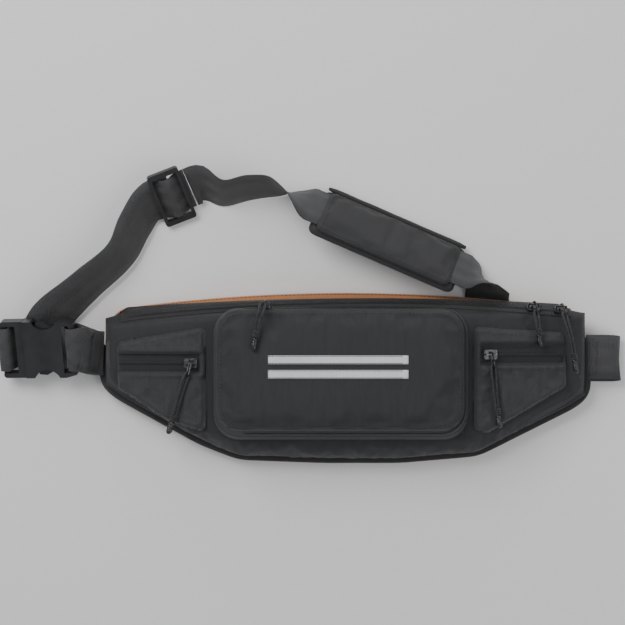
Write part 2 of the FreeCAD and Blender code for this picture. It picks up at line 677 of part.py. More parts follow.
# ---------------------------------------------------------------- webbing
def buckle_station(x, y, z):
    return BUCKLE.multVec(Vector(x, y, z)), BUCKLE.Rotation.multVec(Vector(0, 1, 0))


def strap_station(x, y, z, heading, roll):
    return Vector(x, y, z), across(heading, roll)


GLIDE_X = Vector(0.93, 0.36, 0.0).normalize()
GLIDE_Y = across((0.93, 0.36), 33)
GLIDE = frame_from(Vector(-144.5, 148.5, 17.5), GLIDE_X, GLIDE_Y)


def glide_station(x, z, y=0.0):
    return GLIDE.multVec(Vector(x, y, z)), GLIDE.Rotation.multVec(Vector(0, 1, 0))


def build_triglide():
    body = new_body("triglide")
    half, thick, slot = cell("glide_long") * 0.5, cell("glide_thick") * 0.5, cell("slot_wide") * 0.5
    block(body, box_corners(-13.5, -half, 13.5, half), -thick, thick)
    round_edges(body, 2.5, upright)
    for side in (-1, 1):
        near, far = sorted((2.2 * side, 10.6 * side))
        hollow(body, box_corners(near, -slot, far, slot), -thick - 1, thick + 1)
    body.Placement = GLIDE


def build_adjust_loop():
    """From the tri-glide's far side through it to the male buckle's bar, round the bar and back to the middle bar."""
    upper = [glide_station(16.5, -3.5), glide_station(11.2, -3.4), glide_station(6.4, -0.4), glide_station(2.6, 3.2),
             glide_station(-2.6, 3.2), glide_station(-6.4, -0.4), glide_station(-11.2, -3.4), glide_station(-18, -3.5),
             strap_station(-175.5, 124.5, 18.6, (0.60, 0.80), 45), strap_station(-185, 103.5, 20.7, (0.72, 0.69), 50),
             strap_station(-217, 73.5, 19.8, (0.74, 0.67), 46), strap_station(-245.5, 48.5, 15.4, (0.80, 0.60), 32)]
    wrap = [buckle_station(-8, 0.6, -10.8), buckle_station(-15.5, 0, -9.0), buckle_station(-21.5, 0, -5.4),
            buckle_station(-24.1, 0, 0), buckle_station(-24.9, 0, 3.6), buckle_station(-28.5, 0, 5.4),
            buckle_station(-32.8, 0, 4.2), buckle_station(-33.6, 0, 0), buckle_station(-32.4, 0, -6.0),
            buckle_station(-27, 0, -10.3), buckle_station(-18, 0, -12.0), buckle_station(-8, 0.8, -13.6)]
    lower = [strap_station(-243, 50.5, 11.9, (0.80, 0.60), 32), strap_station(-216, 75.4, 15.2, (0.74, 0.67), 46),
             strap_station(-184, 105.4, 15.9, (0.72, 0.69), 50), strap_station(-174.5, 126, 15.3, (0.60, 0.80), 45),
             glide_station(-16, -6.2), glide_station(-1.0, -5.5)]
    feature_of("strap_adjust_loop", ribbon(upper + wrap + lower, size("webbing_wide"), size("webbing_thick"), 2))


MAIN_ROUTE = [((-102, 151.5, 17.2), (1, 0.05), 57), ((-80, 156, 17.4), (1, 0.10), 60),
              ((-62, 156.6, 18.4), (1, -0.15), 68), ((-50, 152.8, 20.2), (1, -0.36), 88),
              ((-39.5, 147.6, 20.4), (1, -0.43), 114)]
EXIT_ROUTE = [((109.0, 83.4, 20.5), (0.88, -0.47), 124), ((115.0, 79.8, 20.1), (0.62, -0.78), 96),
              ((118.3, 75.8, 18.3), (0.25, -1), 64), ((119.1, 71.2, 11.6), (0.1, -1), 33),
              ((119.4, 66.4, 4.2), (0, -1), 9), ((119.5, 62.8, 1.8), (0, -1), 0),
              ((119.5, 59.5, 1.35), (0, -1), 0)]
PAD_X = Vector(math.cos(math.radians(23.4)), -math.sin(math.radians(23.4)), 0)
PAD = frame_from(Vector(36.6, 114, 20.8), PAD_X, -across((PAD_X.x, PAD_X.y), 141))


def pad_station(x):
    return PAD.multVec(Vector(x, 0, 0)), PAD.Rotation.multVec(Vector(0, -1, 0))


def build_main_strap():
    """From the tri-glide through the shoulder pad, then flat behind the bag to its right end."""
    start = [glide_station(17.2, -3.5), glide_station(25, -3.4)]
    line = start + [strap_station(*p, heading, roll) for p, heading, roll in MAIN_ROUTE]
    line += [pad_station(x) for x in (-71.5, -65.5, -30, 30, 65.5, 71.5)]
    line += [strap_station(*p, heading, roll) for p, heading, roll in EXIT_ROUTE]
    thick, half = size("webbing_thick"), size("webbing_wide") / 2
    end = Vector(119.5, 48.0, 1.2)
    line.append((end, Vector(1, 0, 0)))
    band = ribbon(line, size("webbing_wide"), thick)
    middle = 12.5
    base = end.z - thick / 2
    flat = [(end.x - half, end.y), (end.x - half, middle + half), (end.x - half, middle - half),
            (200.2, middle - half), (200.2, middle + half), (end.x + half, middle + half), (end.x + half, end.y)]
    corners = [Vector(x, y, base) for x, y in flat if (x, y) != (end.x - half, middle + half)]
    leg = Part.Face(Part.makePolygon(corners + corners[:1])).extrude(Vector(0, 0, thick))
    feature_of("strap_main", band.fuse(leg).removeSplitter())


def build_tabs():
    wide, thick = size("webbing_wide"), size("webbing_thick")
    # right end: out from behind the bag, folded back and sewn into the end seam
    loop = [strap_station(200.6, 12.5, 1.2, (1, 0), 0), strap_station(208, 12.5, 1.4, (1, 0), 0),
            strap_station(218, 12.5, 2.6, (1, 0), 0), strap_station(226, 12.8, 5.2, (1, 0), 0),
            strap_station(229, 13.6, 8.6, (1, 0), 0), strap_station(226.4, 14.4, 11.8, (1, 0), 0),
            strap_station(218, 15, 13.2, (1, 0), 0), strap_station(209, 15, 13.6, (1, 0), 0),
            strap_station(201.9, 15, 13.8, (1, 0), 0)]
    feature_of("right_webbing_loop", ribbon(loop, wide, thick, 2))
    # left end: out of the seam, round the female buckle's bar and back
    tab = [(Vector(-202.2, 18, 18.0), Vector(0, 1, 0)), (Vector(-211, 18.8, 21.0), Vector(0, 0.99, 0.12)),
           buckle_station(36.0, 0, 4.4), buckle_station(31.8, 0, 7.9), buckle_station(26.2, 0, 7.9),
           buckle_station(23.5, 0, 3.4), buckle_station(23.5, 0, -3.4), buckle_station(26.2, 0, -7.9),
           buckle_station(31.8, 0, -7.9), buckle_station(36.0, 0, -4.4),
           (Vector(-211, 18.8, 16.9), Vector(0, 0.99, 0.12)), (Vector(-202.2, 18, 15.4), Vector(0, 1, 0))]
    feature_of("left_webbing_tab", ribbon(tab, wide, thick, 3))
    label = [(Vector(-203.6, 18.1, 21.6), Vector(0, 1, 0.02)), (Vector(-210.0, 18.8, 25.2), Vector(0, 0.99, 0.11))]
    feature_of("woven_label", ribbon(label, 34.0, 0.5, 1))


# ---------------------------------------------------------------- shoulder pad
def build_shoulder_pad():
    half_long, half_wide = cell("pad_long") * 0.5, cell("pad_wide") * 0.5
    base = new_body("shoulder_pad")
    block(base, box_corners(-half_long, -half_wide, half_long, half_wide), dim(-1.0) - cell("pad_thick"), -1.0)
    round_edges(base, 2.0, upright)
    block(base, box_corners(-half_long + 2.5, half_wide - 4, half_long - 2.5, half_wide), -1.2, 3.2)
    flap = new_body("pad_flap")
    half_flap = cell("flap_long") * 0.5
    block(flap, box_corners(-half_flap, dim(0.6) - half_wide, half_flap, half_wide - 4.5), 1.0,
          dim(1.0) + cell("flap_thick"))
    hook = new_body("pad_hook_strip")
    block(hook, box_corners(-half_flap + 4, dim(0.9) - half_wide, half_flap - 4, dim(5.2) - half_wide), 0.15, 0.95)
    loop = new_body("pad_loop_strip")
    block(loop, box_corners(-half_flap + 4, dim(0.9) - half_wide, half_flap - 4, dim(5.2) - half_wide), -0.95, -0.15)
    for piece in (base, flap, hook, loop):
        piece.Placement = PAD
    hinge = PAD.multVec(Vector(0, size("pad_wide") / 2 - 4.1, 3.2))
    print(f"pad hinge at {hinge}, along {-PAD_X}")


build_back()
build_front()
build_top_zip()
pocket_top, centre_zip_z, centre_zip_y = build_centre_pocket()
for pocket_name in POCKETS:
    build_side_pocket(pocket_name)
build_sliders(pocket_top, centre_zip_z, centre_zip_y)
build_female()
build_male()
build_arm("upper", 1)
build_arm("lower", -1)
build_triglide()
build_adjust_loop()
build_main_strap()
build_tabs()
build_shoulder_pad()
doc.recompute()
print(f"buckle pivot {BUCKLE.multVec(Vector(*ARM_PIVOT, 0))} {BUCKLE.multVec(Vector(ARM_PIVOT[0], -ARM_PIVOT[1], 0))}")
print(f"buckle x {BUCKLE.Rotation.multVec(Vector(1, 0, 0))} z {BUCKLE.Rotation.multVec(Vector(0, 0, 1))}")

# ---------------------------------------------------------------- checks and files
for item in doc.Objects:
    if "Invalid" in item.State or "Error" in item.State:
        raise RuntimeError(f"{item.Label} failed to recompute: {item.State}")
nodes = [item for item in doc.Objects if item.TypeId in ("PartDesign::Body", "Part::Feature")]
for node in nodes:
    if node.Shape.isNull() or not node.Shape.isValid() or not node.Shape.Solids:
        raise RuntimeError(f"{node.Label} has no valid solid")
    node.Shape.exportStep(f"parts/{node.Label}.step")
    box = node.Shape.BoundBox
    print(f"{node.Label}: {len(node.Shape.Solids)} solid, {node.Shape.Volume:.0f} mm3, "
          f"X {box.XMin:.1f} {box.XMax:.1f} Y {box.YMin:.1f} {box.YMax:.1f} Z {box.ZMin:.1f} {box.ZMax:.1f}")
print(f"{len(nodes)} nodes")
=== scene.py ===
"""The looks of the sling waist pack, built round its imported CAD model. Places are in millimetres until a
piece is made; the scene itself is in metres, in the row's frame."""

import math

import bmesh
import bpy
from mathutils import Matrix, Vector, noise


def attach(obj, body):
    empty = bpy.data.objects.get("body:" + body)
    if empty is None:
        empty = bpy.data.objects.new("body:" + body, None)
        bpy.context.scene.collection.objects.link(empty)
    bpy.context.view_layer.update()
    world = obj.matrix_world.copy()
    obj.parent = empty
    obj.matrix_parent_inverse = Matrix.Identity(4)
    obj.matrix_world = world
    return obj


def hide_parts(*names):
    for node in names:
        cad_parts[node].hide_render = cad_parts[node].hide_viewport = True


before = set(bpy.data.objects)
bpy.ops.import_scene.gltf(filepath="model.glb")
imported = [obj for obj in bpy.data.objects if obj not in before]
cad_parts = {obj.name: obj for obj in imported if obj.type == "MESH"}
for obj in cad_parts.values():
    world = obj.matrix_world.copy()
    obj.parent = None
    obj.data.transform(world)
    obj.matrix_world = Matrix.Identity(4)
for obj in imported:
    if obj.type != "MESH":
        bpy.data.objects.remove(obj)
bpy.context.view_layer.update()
MM = 0.001
scene = bpy.context.scene


# ---------------------------------------------------------------- camera, light and floor
VIEW_CENTRE = Vector((-27.3, 52.0, 30.0))
CAMERA_HEIGHT, VIEW_WIDE, SENSOR = 1500.0, 516.0, 36.0


def build_camera():
    data = bpy.data.cameras.new("camera")
    data.sensor_width = SENSOR
    data.lens = SENSOR * (CAMERA_HEIGHT - VIEW_CENTRE.z) / VIEW_WIDE
    camera = bpy.data.objects.new("camera", data)
    camera.location = Vector((VIEW_CENTRE.x, VIEW_CENTRE.y, CAMERA_HEIGHT)) * MM
    scene.collection.objects.link(camera)
    scene.camera = camera


def build_light(name, place, width, power):
    data = bpy.data.lights.new(name, "AREA")
    data.size = width
    data.energy = power
    lamp = bpy.data.objects.new(name, data)
    lamp.location = place
    aim = VIEW_CENTRE * MM - Vector(place)
    lamp.rotation_euler = aim.to_track_quat("-Z", "Y").to_euler()
    scene.collection.objects.link(lamp)


def build_studio():
    build_light("key", (-0.75, 0.85, 1.25), 0.9, 17.0)
    build_light("fill", (0.95, -0.35, 1.3), 1.3, 8.0)
    build_light("low_rim", (0.1, 1.6, 0.45), 0.8, 6.0)
    world = bpy.data.worlds.new("studio")
    world.use_nodes = True
    world.node_tree.nodes["Background"].inputs["Color"].default_value = (0.93, 0.95, 1.0, 1)
    world.node_tree.nodes["Background"].inputs["Strength"].default_value = 0.42
    scene.world = world
    half, low = 3.0, 0.0
    mesh = bpy.data.meshes.new("floor")
    corners = [(-half, -half, low), (half, -half, low), (half, half, low), (-half, half, low)]
    mesh.from_pydata(corners, [], [(0, 1, 2, 3)])
    floor = bpy.data.objects.new("floor", mesh)
    scene.collection.objects.link(floor)
    floor.data.materials.append(plain_floor())


# ---------------------------------------------------------------- materials
class Nodes:
    """A material's node tree, with one short call per node."""

    def __init__(self, name):
        self.material = bpy.data.materials.new(name)
        self.material.use_nodes = True
        self.tree = self.material.node_tree
        self.shader = self.tree.nodes["Principled BSDF"]

    def add(self, kind, inputs=(), **settings):
        node = self.tree.nodes.new(kind)
        for key, value in settings.items():
            setattr(node, key, value)
        for key, value in dict(inputs).items():
            self.put(node.inputs[key], value)
        return node

    def put(self, socket, value):
        if isinstance(value, bpy.types.NodeSocket):
            self.tree.links.new(value, socket)
        else:
            socket.default_value = value

    def maths(self, operation, first, second=0.0):
        return self.add("ShaderNodeMath", {0: first, 1: second}, operation=operation).outputs[0]

    def noise(self, place, scale, detail=3.0, roughness=0.55):
        made = self.add("ShaderNodeTexNoise", {"Vector": place, "Scale": scale, "Detail": detail,
                                               "Roughness": roughness})
        return made.outputs["Fac"]

    def ramp(self, value, low, high, first, second):
        """A colour that runs from first to second as value runs from low to high."""
        made = self.add("ShaderNodeValToRGB", {"Fac": value})
        made.color_ramp.elements[0].position = low
        made.color_ramp.elements[0].color = (*first, 1)
        made.color_ramp.elements[1].position = high
        made.color_ramp.elements[1].color = (*second, 1)
        return made.outputs["Color"]

    def span(self, value, low, high):
        return self.add("ShaderNodeMapRange", {"Value": value, "To Min": low, "To Max": high}).outputs[0]

    def finish(self, colour, roughness, height=None, bump=0.3, depth=0.0003, **fixed):
        self.put(self.shader.inputs["Base Color"], colour)
        self.put(self.shader.inputs["Roughness"], roughness)
        for socket, value in fixed.items():
            self.shader.inputs[socket.replace("_", " ")].default_value = value
        if height is not None:
            made = self.add("ShaderNodeBump", {"Height": height, "Strength": bump, "Distance": depth})
            self.put(self.shader.inputs["Normal"], made.outputs["Normal"])
        return self.material


def shade(colour, factor):
    return tuple(c * factor for c in colour)


def threads(nodes, across, along, pitch):
    """A plain weave: over and under threads, from two lengths in metres."""
    turn = 2 * math.pi / pitch
    return nodes.maths("MULTIPLY", nodes.maths("SINE", nodes.maths("MULTIPLY", across, turn)),
                       nodes.maths("SINE", nodes.maths("MULTIPLY", along, turn)))


def cloth(name, colour, pitch=0.0009, contrast=0.35, roughness=0.62, crease_depth_and_shade=0.5, bump=0.55, sheen=0.12):
    """Woven cloth: a plain weave, long soft creases across the pack with painted shade in their troughs and painted
    light on their crests, and slow changes of tone.
    """
    nodes = Nodes(name)
    place = nodes.add("ShaderNodeTexCoord").outputs["Object"]
    split = nodes.add("ShaderNodeSeparateXYZ", {0: place}).outputs
    weave = threads(nodes, split[0], nodes.maths("ADD", split[1], split[2]), pitch)
    squeezed = nodes.add("ShaderNodeMapping", {"Vector": place, "Scale": (7.0, 1.0, 1.0)}).outputs[0]
    creases = nodes.noise(squeezed, 42.0, 5.0, 0.62)
    broad = nodes.noise(place, 26.0, 3.0)
    # the creases also set the colour: painted shade in their troughs and painted light on their crests, from the same
    # noise that raises their bump
    crease_shade_and_tone = nodes.maths("ADD", nodes.maths("MULTIPLY", creases, crease_depth_and_shade), nodes.maths("MULTIPLY", broad, 0.5))
    tone = nodes.maths("ADD", nodes.maths("MULTIPLY", weave, 0.16 * contrast / 0.35), crease_shade_and_tone)
    paint = nodes.ramp(tone, 0.22, 0.85, shade(colour, 1 - contrast), shade(colour, 1 + contrast))
    height = nodes.maths("ADD", nodes.maths("MULTIPLY", weave, 0.22),
                         nodes.maths("MULTIPLY", creases, 1.6 * crease_depth_and_shade))
    return nodes.finish(paint, nodes.span(broad, roughness - 0.1, roughness + 0.1), height, bump, 0.0009,
                        Sheen_Weight=sheen, Sheen_Roughness=0.45, Specular_IOR_Level=0.42)


def webbing_cloth(name, dark, light, pitch=0.0016, chevron=0.0063):
    """Herringbone webbing: chevrons of slanting ribs, speckled, along the strap's own length."""
    nodes = Nodes(name)
    flat = nodes.add("ShaderNodeUVMap", uv_map="weave").outputs[0]
    split = nodes.add("ShaderNodeSeparateXYZ", {0: flat}).outputs
    zigzag = nodes.add("ShaderNodeMath", {0: split[0], 1: chevron}, operation="PINGPONG").outputs[0]
    slant = nodes.maths("ADD", split[1], zigzag)
    ribs = nodes.maths("SINE", nodes.maths("MULTIPLY", slant, 2 * math.pi / pitch))
    cross = nodes.maths("SINE", nodes.maths("MULTIPLY", split[0], 2 * math.pi / (pitch * 0.5)))
    grain = nodes.noise(flat, 900.0, 2.0, 0.6)
    broad = nodes.noise(flat, 60.0, 2.0)
    tone = nodes.maths("ADD", nodes.maths("MULTIPLY", ribs, 0.2), nodes.maths("ADD", nodes.maths(
        "MULTIPLY", grain, 0.75), nodes.maths("MULTIPLY", broad, 0.25)))
    paint = nodes.ramp(tone, 0.18, 0.85, dark, light)
    height = nodes.maths("ADD", nodes.maths("MULTIPLY", ribs, 0.6), nodes.maths("MULTIPLY", cross, 0.25))
    return nodes.finish(paint, nodes.span(grain, 0.5, 0.8), height, 0.6, 0.0005, Sheen_Weight=0.15,
                        Sheen_Roughness=0.4)


def tape_cloth(name, colour, pitch=0.0018):
    """Zipper tape: fine slanting ribs."""
    nodes = Nodes(name)
    place = nodes.add("ShaderNodeTexCoord").outputs["Object"]
    split = nodes.add("ShaderNodeSeparateXYZ", {0: place}).outputs
    slant = nodes.maths("ADD", nodes.maths("ADD", split[0], split[2]), nodes.maths("MULTIPLY", split[1], 1.4))
    ribs = nodes.maths("SINE", nodes.maths("MULTIPLY", slant, 2 * math.pi / pitch))
    grain = nodes.noise(place, 900.0, 2.0)
    tone = nodes.maths("ADD", nodes.maths("MULTIPLY", ribs, 0.3), nodes.maths("MULTIPLY", grain, 1.0))
    paint = nodes.ramp(tone, 0.15, 0.95, shade(colour, 0.45), shade(colour, 2.1))
    return nodes.finish(paint, nodes.span(grain, 0.6, 0.85), ribs, 0.6, 0.0004, Sheen_Weight=0.1)


def moulded(name, colour, roughness=0.36, grain=0.35, coat=0.0):
    """Moulded plastic: a fine spark-eroded grain and faint flow marks."""
    nodes = Nodes(name)
    place = nodes.add("ShaderNodeTexCoord").outputs["Object"]
    fine = nodes.noise(place, 2600.0, 2.0, 0.7)
    broad = nodes.noise(place, 70.0, 3.0)
    paint = nodes.ramp(broad, 0.3, 0.7, shade(colour, 0.82), shade(colour, 1.25))
    mixed = nodes.maths("ADD", nodes.maths("MULTIPLY", fine, 0.5), nodes.maths("MULTIPLY", broad, 0.5))
    rough = nodes.span(mixed, roughness - 0.1, roughness + 0.12)
    return nodes.finish(paint, rough, fine, grain, 0.00012, Coat_Weight=coat, Coat_Roughness=0.15)


def plated(name, colour, roughness=0.24):
    """Dark plated metal, worn brighter in small patches."""
    nodes = Nodes(name)
    place = nodes.add("ShaderNodeTexCoord").outputs["Object"]
    wear = nodes.noise(place, 420.0, 4.0, 0.65)
    paint = nodes.ramp(wear, 0.5, 0.75, colour, shade(colour, 3.2))
    return nodes.finish(paint, nodes.span(wear, roughness - 0.08, roughness + 0.2), wear, 0.15, 0.0001,
                        Metallic=0.85, Specular_IOR_Level=0.6)


def reflective_tape(name):
    """Silver tape: a field of tiny glass beads under a fine cross-hatch."""
    nodes = Nodes(name)
    place = nodes.add("ShaderNodeTexCoord").outputs["Object"]
    beads = nodes.add("ShaderNodeTexVoronoi", {"Vector": place, "Scale": 1500.0}).outputs["Distance"]
    broad = nodes.noise(place, 90.0, 3.0)
    tone = nodes.maths("ADD", nodes.maths("MULTIPLY", beads, 0.45), nodes.maths("MULTIPLY", broad, 0.5))
    paint = nodes.ramp(tone, 0.2, 0.75, (0.56, 0.57, 0.59), (0.74, 0.75, 0.77))
    return nodes.finish(paint, nodes.span(broad, 0.36, 0.52), beads, 0.25, 0.00015, Metallic=0.12,
                        Specular_IOR_Level=0.7)


def thread_cord(name, colour, pitch=0.0016):
    """Braided cord: small slanting plaits, with a painted highlight on their raised crowns and painted shade in the
    grooves between them.
    """
    nodes = Nodes(name)
    place = nodes.add("ShaderNodeTexCoord").outputs["Object"]
    cells = nodes.add("ShaderNodeTexVoronoi", {"Vector": place, "Scale": 1 / pitch}).outputs["Distance"]
    grain = nodes.noise(place, 1800.0, 2.0)
    # painted highlight on each plait's crown and painted shade in the grooves between plaits, from the same cells that
    # raise the bump
    paint = nodes.ramp(cells, 0.1, 0.6, shade(colour, 1.7), shade(colour, 0.5))
    plaits = nodes.maths("MULTIPLY", cells, -1.0)
    return nodes.finish(paint, nodes.span(grain, 0.45, 0.7), plaits, 0.7, 0.0005, Sheen_Weight=0.15)


def plain_floor():
    nodes = Nodes("floor_paper")
    place = nodes.add("ShaderNodeTexCoord").outputs["Object"]
    grain = nodes.noise(place, 260.0, 3.0)
    paint = nodes.ramp(grain, 0.3, 0.7, (0.79, 0.785, 0.775), (0.81, 0.805, 0.795))
    return nodes.finish(paint, 0.85, grain, 0.05, 0.0002)


BLACK = (0.0215, 0.0218, 0.0232)
MATERIALS = {
    "tan_fabric": cloth("tan_fabric", (0.50, 0.205, 0.078), 0.0011, 0.22, 0.75, 0.25, 0.4, 0.2),
    "shell_fabric": cloth("shell_fabric", BLACK),
    "pocket_fabric": cloth("pocket_fabric", shade(BLACK, 1.35), 0.0009, 0.3, 0.56, 0.55, 0.6),
    "lining_fabric": cloth("lining_fabric", (0.05, 0.05, 0.052), 0.0008, 0.2, 0.7, 0.2),
    "foam": cloth("foam", (0.33, 0.33, 0.32), 0.0013, 0.3, 0.9, 0.1),
    "binding": tape_cloth("binding", (0.013, 0.013, 0.014), 0.0014),
    "zipper_tape": tape_cloth("zipper_tape", (0.017, 0.017, 0.018)),
    "zipper_coil": moulded("zipper_coil", (0.03, 0.03, 0.031), 0.4, 0.2),
    "reflective": reflective_tape("reflective"),
    "webbing": webbing_cloth("webbing", (0.010, 0.010, 0.011), (0.088, 0.088, 0.090)),
    "label": cloth("label", (0.02, 0.02, 0.021), 0.0007, 0.4, 0.7, 0.2),
    "black_plastic": moulded("black_plastic", (0.021, 0.021, 0.022)),
    "slider_metal": plated("slider_metal", (0.075, 0.075, 0.078)),
    "pull_cord": thread_cord("pull_cord", (0.016, 0.016, 0.017)),
    "pull_end": moulded("pull_end", (0.013, 0.013, 0.014), 0.22, 0.1, 0.5),
    "pad_fabric": cloth("pad_fabric", (0.030, 0.030, 0.031), 0.0008, 0.3, 0.7, 0.3, 0.5),
    "hook_and_loop": cloth("hook_and_loop", (0.02, 0.02, 0.02), 0.0012, 0.6, 0.9, 0.2, 0.9, 0.3),
    "stitching": thread_cord("stitching", (0.045, 0.045, 0.047), 0.0006),
}


# ---------------------------------------------------------------- making pieces
def make_object(name, points, faces):
    mesh = bpy.data.meshes.new(name)
    mesh.from_pydata([tuple(Vector(p) * MM) for p in points], [], faces)
    mesh.validate()
    piece = bpy.data.objects.new(name, mesh)
    scene.collection.objects.link(piece)
    return piece


def smooth(piece, levels=0):
    """Smooth shading, with outward faces, and one or more subdivisions where asked."""
    made = bmesh.new()
    made.from_mesh(piece.data)
    bmesh.ops.recalc_face_normals(made, faces=made.faces)
    for face in made.faces:
        face.smooth = True
    made.to_mesh(piece.data)
    made.free()
    if levels:
        modifier = piece.modifiers.new("subdivision", "SUBSURF")
        modifier.levels = modifier.render_levels = levels


def belongs(piece, body, slot, material=None, nodes=()):
    piece.data.materials.append(MATERIALS[material or slot])
    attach(piece, body)
    if nodes:
        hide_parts(*nodes)


def grid_faces(rows, columns, wrap=False):
    """Quads of a grid of rows by columns of points; wrap joins the last column to the first."""
    faces = []
    for row in range(rows - 1):
        for column in range(columns if wrap else columns - 1):
            beside = (column + 1) % columns
            faces.append((row * columns + column, row * columns + beside,
                          (row + 1) * columns + beside, (row + 1) * columns + column))
    return faces


def lofted(name, loops):
    """A closed form through loops of equal length, capped at both ends."""
    count = len(loops[0])
    points = [p for loop in loops for p in loop]
    faces = grid_faces(len(loops), count, True)
    faces += [tuple(range(count))[::-1], tuple(range(len(points) - count, len(points)))]
    return make_object(name, points, faces)


def join_prisms(name, prisms):
    """Many small closed forms in one object; each is (points, faces)."""
    points, faces = [], []
    for some, sides in prisms:
        faces += [tuple(index + len(points) for index in side) for side in sides]
        points += some
    return make_object(name, points, faces)


def capsule(start, end, radius, flat=1.0, sides=6, up=Vector((0, 0, 1))):
    """A short thread from start to end, rounded at both ends."""
    along = (end - start).normalized()
    side = along.cross(up).normalized()
    top = side.cross(along)
    points, rings = [], ((0.0, 0.45), (0.22, 1.0), (0.78, 1.0), (1.0, 0.45))
    for share, wide in rings:
        centre = start.lerp(end, share)
        points += [centre + (side * math.cos(a) + top * (math.sin(a) * flat)) * radius * wide
                   for a in (2 * math.pi * k / sides for k in range(sides))]
    faces = grid_faces(len(rings), sides, True)
    faces += [tuple(range(sides))[::-1], tuple(range(len(points) - sides, len(points)))]
    return points, faces


def along_path(path, spacing):
    """Even steps along a path of (point, normal); gives (point, direction, normal) at each."""
    steps, carried = [], 0.0
    for (a, up_a), (b, up_b) in zip(path, path[1:]):
        run = (b - a).length
        at = carried
        while at < run and run > 0:
            share = at / run
            steps.append((a.lerp(b, share), (b - a).normalized(), up_a.lerp(up_b, share).normalized()))
            at += spacing
        carried = at - run
    return steps


def stitch_run(path, pitch=3.2, long=2.2, radius=0.3, sink=0.05):
    """Threads of a seam along a path of (point, normal)."""
    made = []
    for point, ahead, up in along_path(path, pitch):
        centre = point + up * (radius - sink - 0.1)
        made.append(capsule(centre - ahead * long / 2, centre + ahead * long / 2, radius, 0.8, 6, up))
    return made


def teeth_run(path, pitch=1.5, reach=1.45, high=0.85):
    """Both rows of a nylon coil's turns along a path of (point, normal)."""
    made = []
    for number, (point, ahead, up) in enumerate(along_path(path, pitch / 2)):
        way = 1 if number % 2 else -1
        side = ahead.cross(up).normalized() * way
        low, tip = point + side * reach, point - side * 0.35
        made.append(capsule(low + up * high * 0.35, tip + up * high * 0.55, 0.42, 1.0, 6, up))
    return made


# ---------------------------------------------------------------- cords: the zip pulls
CORD_THICK = 2.0
# Each pull: the slider's body, the cord's length in metres, and the cord's route from one side of its
# moulded end, up through the metal link and back.
PULLS = {
    "top_pull_a": (0.046, [(157.56, 33.4, 39.97), (155.42, 44.61, 41.86), (154.48, 53.96, 36.37),
                           (158.47, 52.43, 34.19), (158.58, 43.39, 40.14), (159.64, 32.6, 38.83)]),
    "top_pull_b": (0.085, [(187.17, 12.34, 37.42), (184.76, 27.41, 38.54), (179.93, 43.52, 39.54),
                           (177.94, 51.89, 34.71), (181.9, 50.58, 32.35), (183.07, 42.48, 37.66),
                           (187.24, 26.59, 37.06), (189.23, 11.66, 36.18)]),
    "centre_pull": (0.072, [(-74.48, 31.63, 64.95), (-72.29, 44.76, 66.53), (-70.24, 53.96, 69.42),
                            (-69.56, 60.82, 58.43), (-65.42, 58.4, 58.63), (-66.96, 52.04, 69.58),
                            (-69.71, 43.24, 66.67), (-72.32, 30.37, 65.05)]),
    "left_pull": (0.088, [(-143.46, -37.75, 43.02), (-138.47, -21.7, 43.74), (-135.61, -9.62, 44.34),
                          (-131.68, 2.99, 44.23), (-127.61, 2.02, 41.87), (-132.39, -10.38, 42.46),
                          (-135.93, -22.3, 42.26), (-141.34, -38.25, 41.78)]),
    "right_pull": (0.087, [(123.52, -32.62, 43.93), (121.01, -18.14, 44.25), (119.96, -6.18, 44.55),
                           (118.27, 9.14, 44.46), (122.4, 9.59, 42.06), (123.24, -5.82, 42.65),
                           (123.59, -17.86, 42.75), (125.68, -32.38, 42.67)]),
}


def build_cord(name, route):
    curve = bpy.data.curves.new(name, "CURVE")
    curve.dimensions = "3D"
    curve.bevel_depth = CORD_THICK / 2 * MM
    curve.bevel_resolution = 5
    curve.resolution_u = 10
    curve.use_fill_caps = True
    spline = curve.splines.new("NURBS")
    spline.points.add(len(route) - 1)
    for point, place in zip(spline.points, route):
        point.co = (*(Vector(place) * MM), 1)
    spline.order_u = 3
    spline.use_endpoint_u = True
    cord = bpy.data.objects.new(name, curve)
    scene.collection.objects.link(cord)
    return cord


def build_pull_end(name, route, body):
    """A moulded end: a collar, a gripped barrel with ribs, and a rounded tip with a seam round it."""
    middle = (Vector(route[0]) + Vector(route[-1])) / 2
    before = (Vector(route[1]) + Vector(route[-2])) / 2
    ahead = (middle - before).normalized()
    side = (Vector(route[0]) - Vector(route[-1])).normalized()
    top = ahead.cross(side).normalized()
    profile = [(-0.6, 1.5), (-0.5, 2.0), (0.4, 2.35), (1.4, 2.45), (1.9, 2.1), (2.4, 2.1), (2.9, 2.6), (3.4, 2.65),
               (3.9, 2.3), (4.4, 2.3), (4.9, 2.75), (5.4, 2.78), (5.9, 2.4), (6.4, 2.4), (6.9, 2.7), (8.0, 2.6),
               (9.2, 2.15), (9.9, 1.3), (10.1, 0.5)]
    sides, loops = 20, []
    for along, radius in profile:
        flat = 0.86 + 0.14 * math.cos(along)
        centre = middle + ahead * along
        loops.append([centre + side * (math.cos(a) * radius) + top * (math.sin(a) * radius * flat)
                      for a in (2 * math.pi * k / sides for k in range(sides))])
    tip = lofted(f"{name}_tip", loops)
    smooth(tip, 1)
    belongs(tip, body, "pull_end", None, [f"{name}_end"])
    return tip


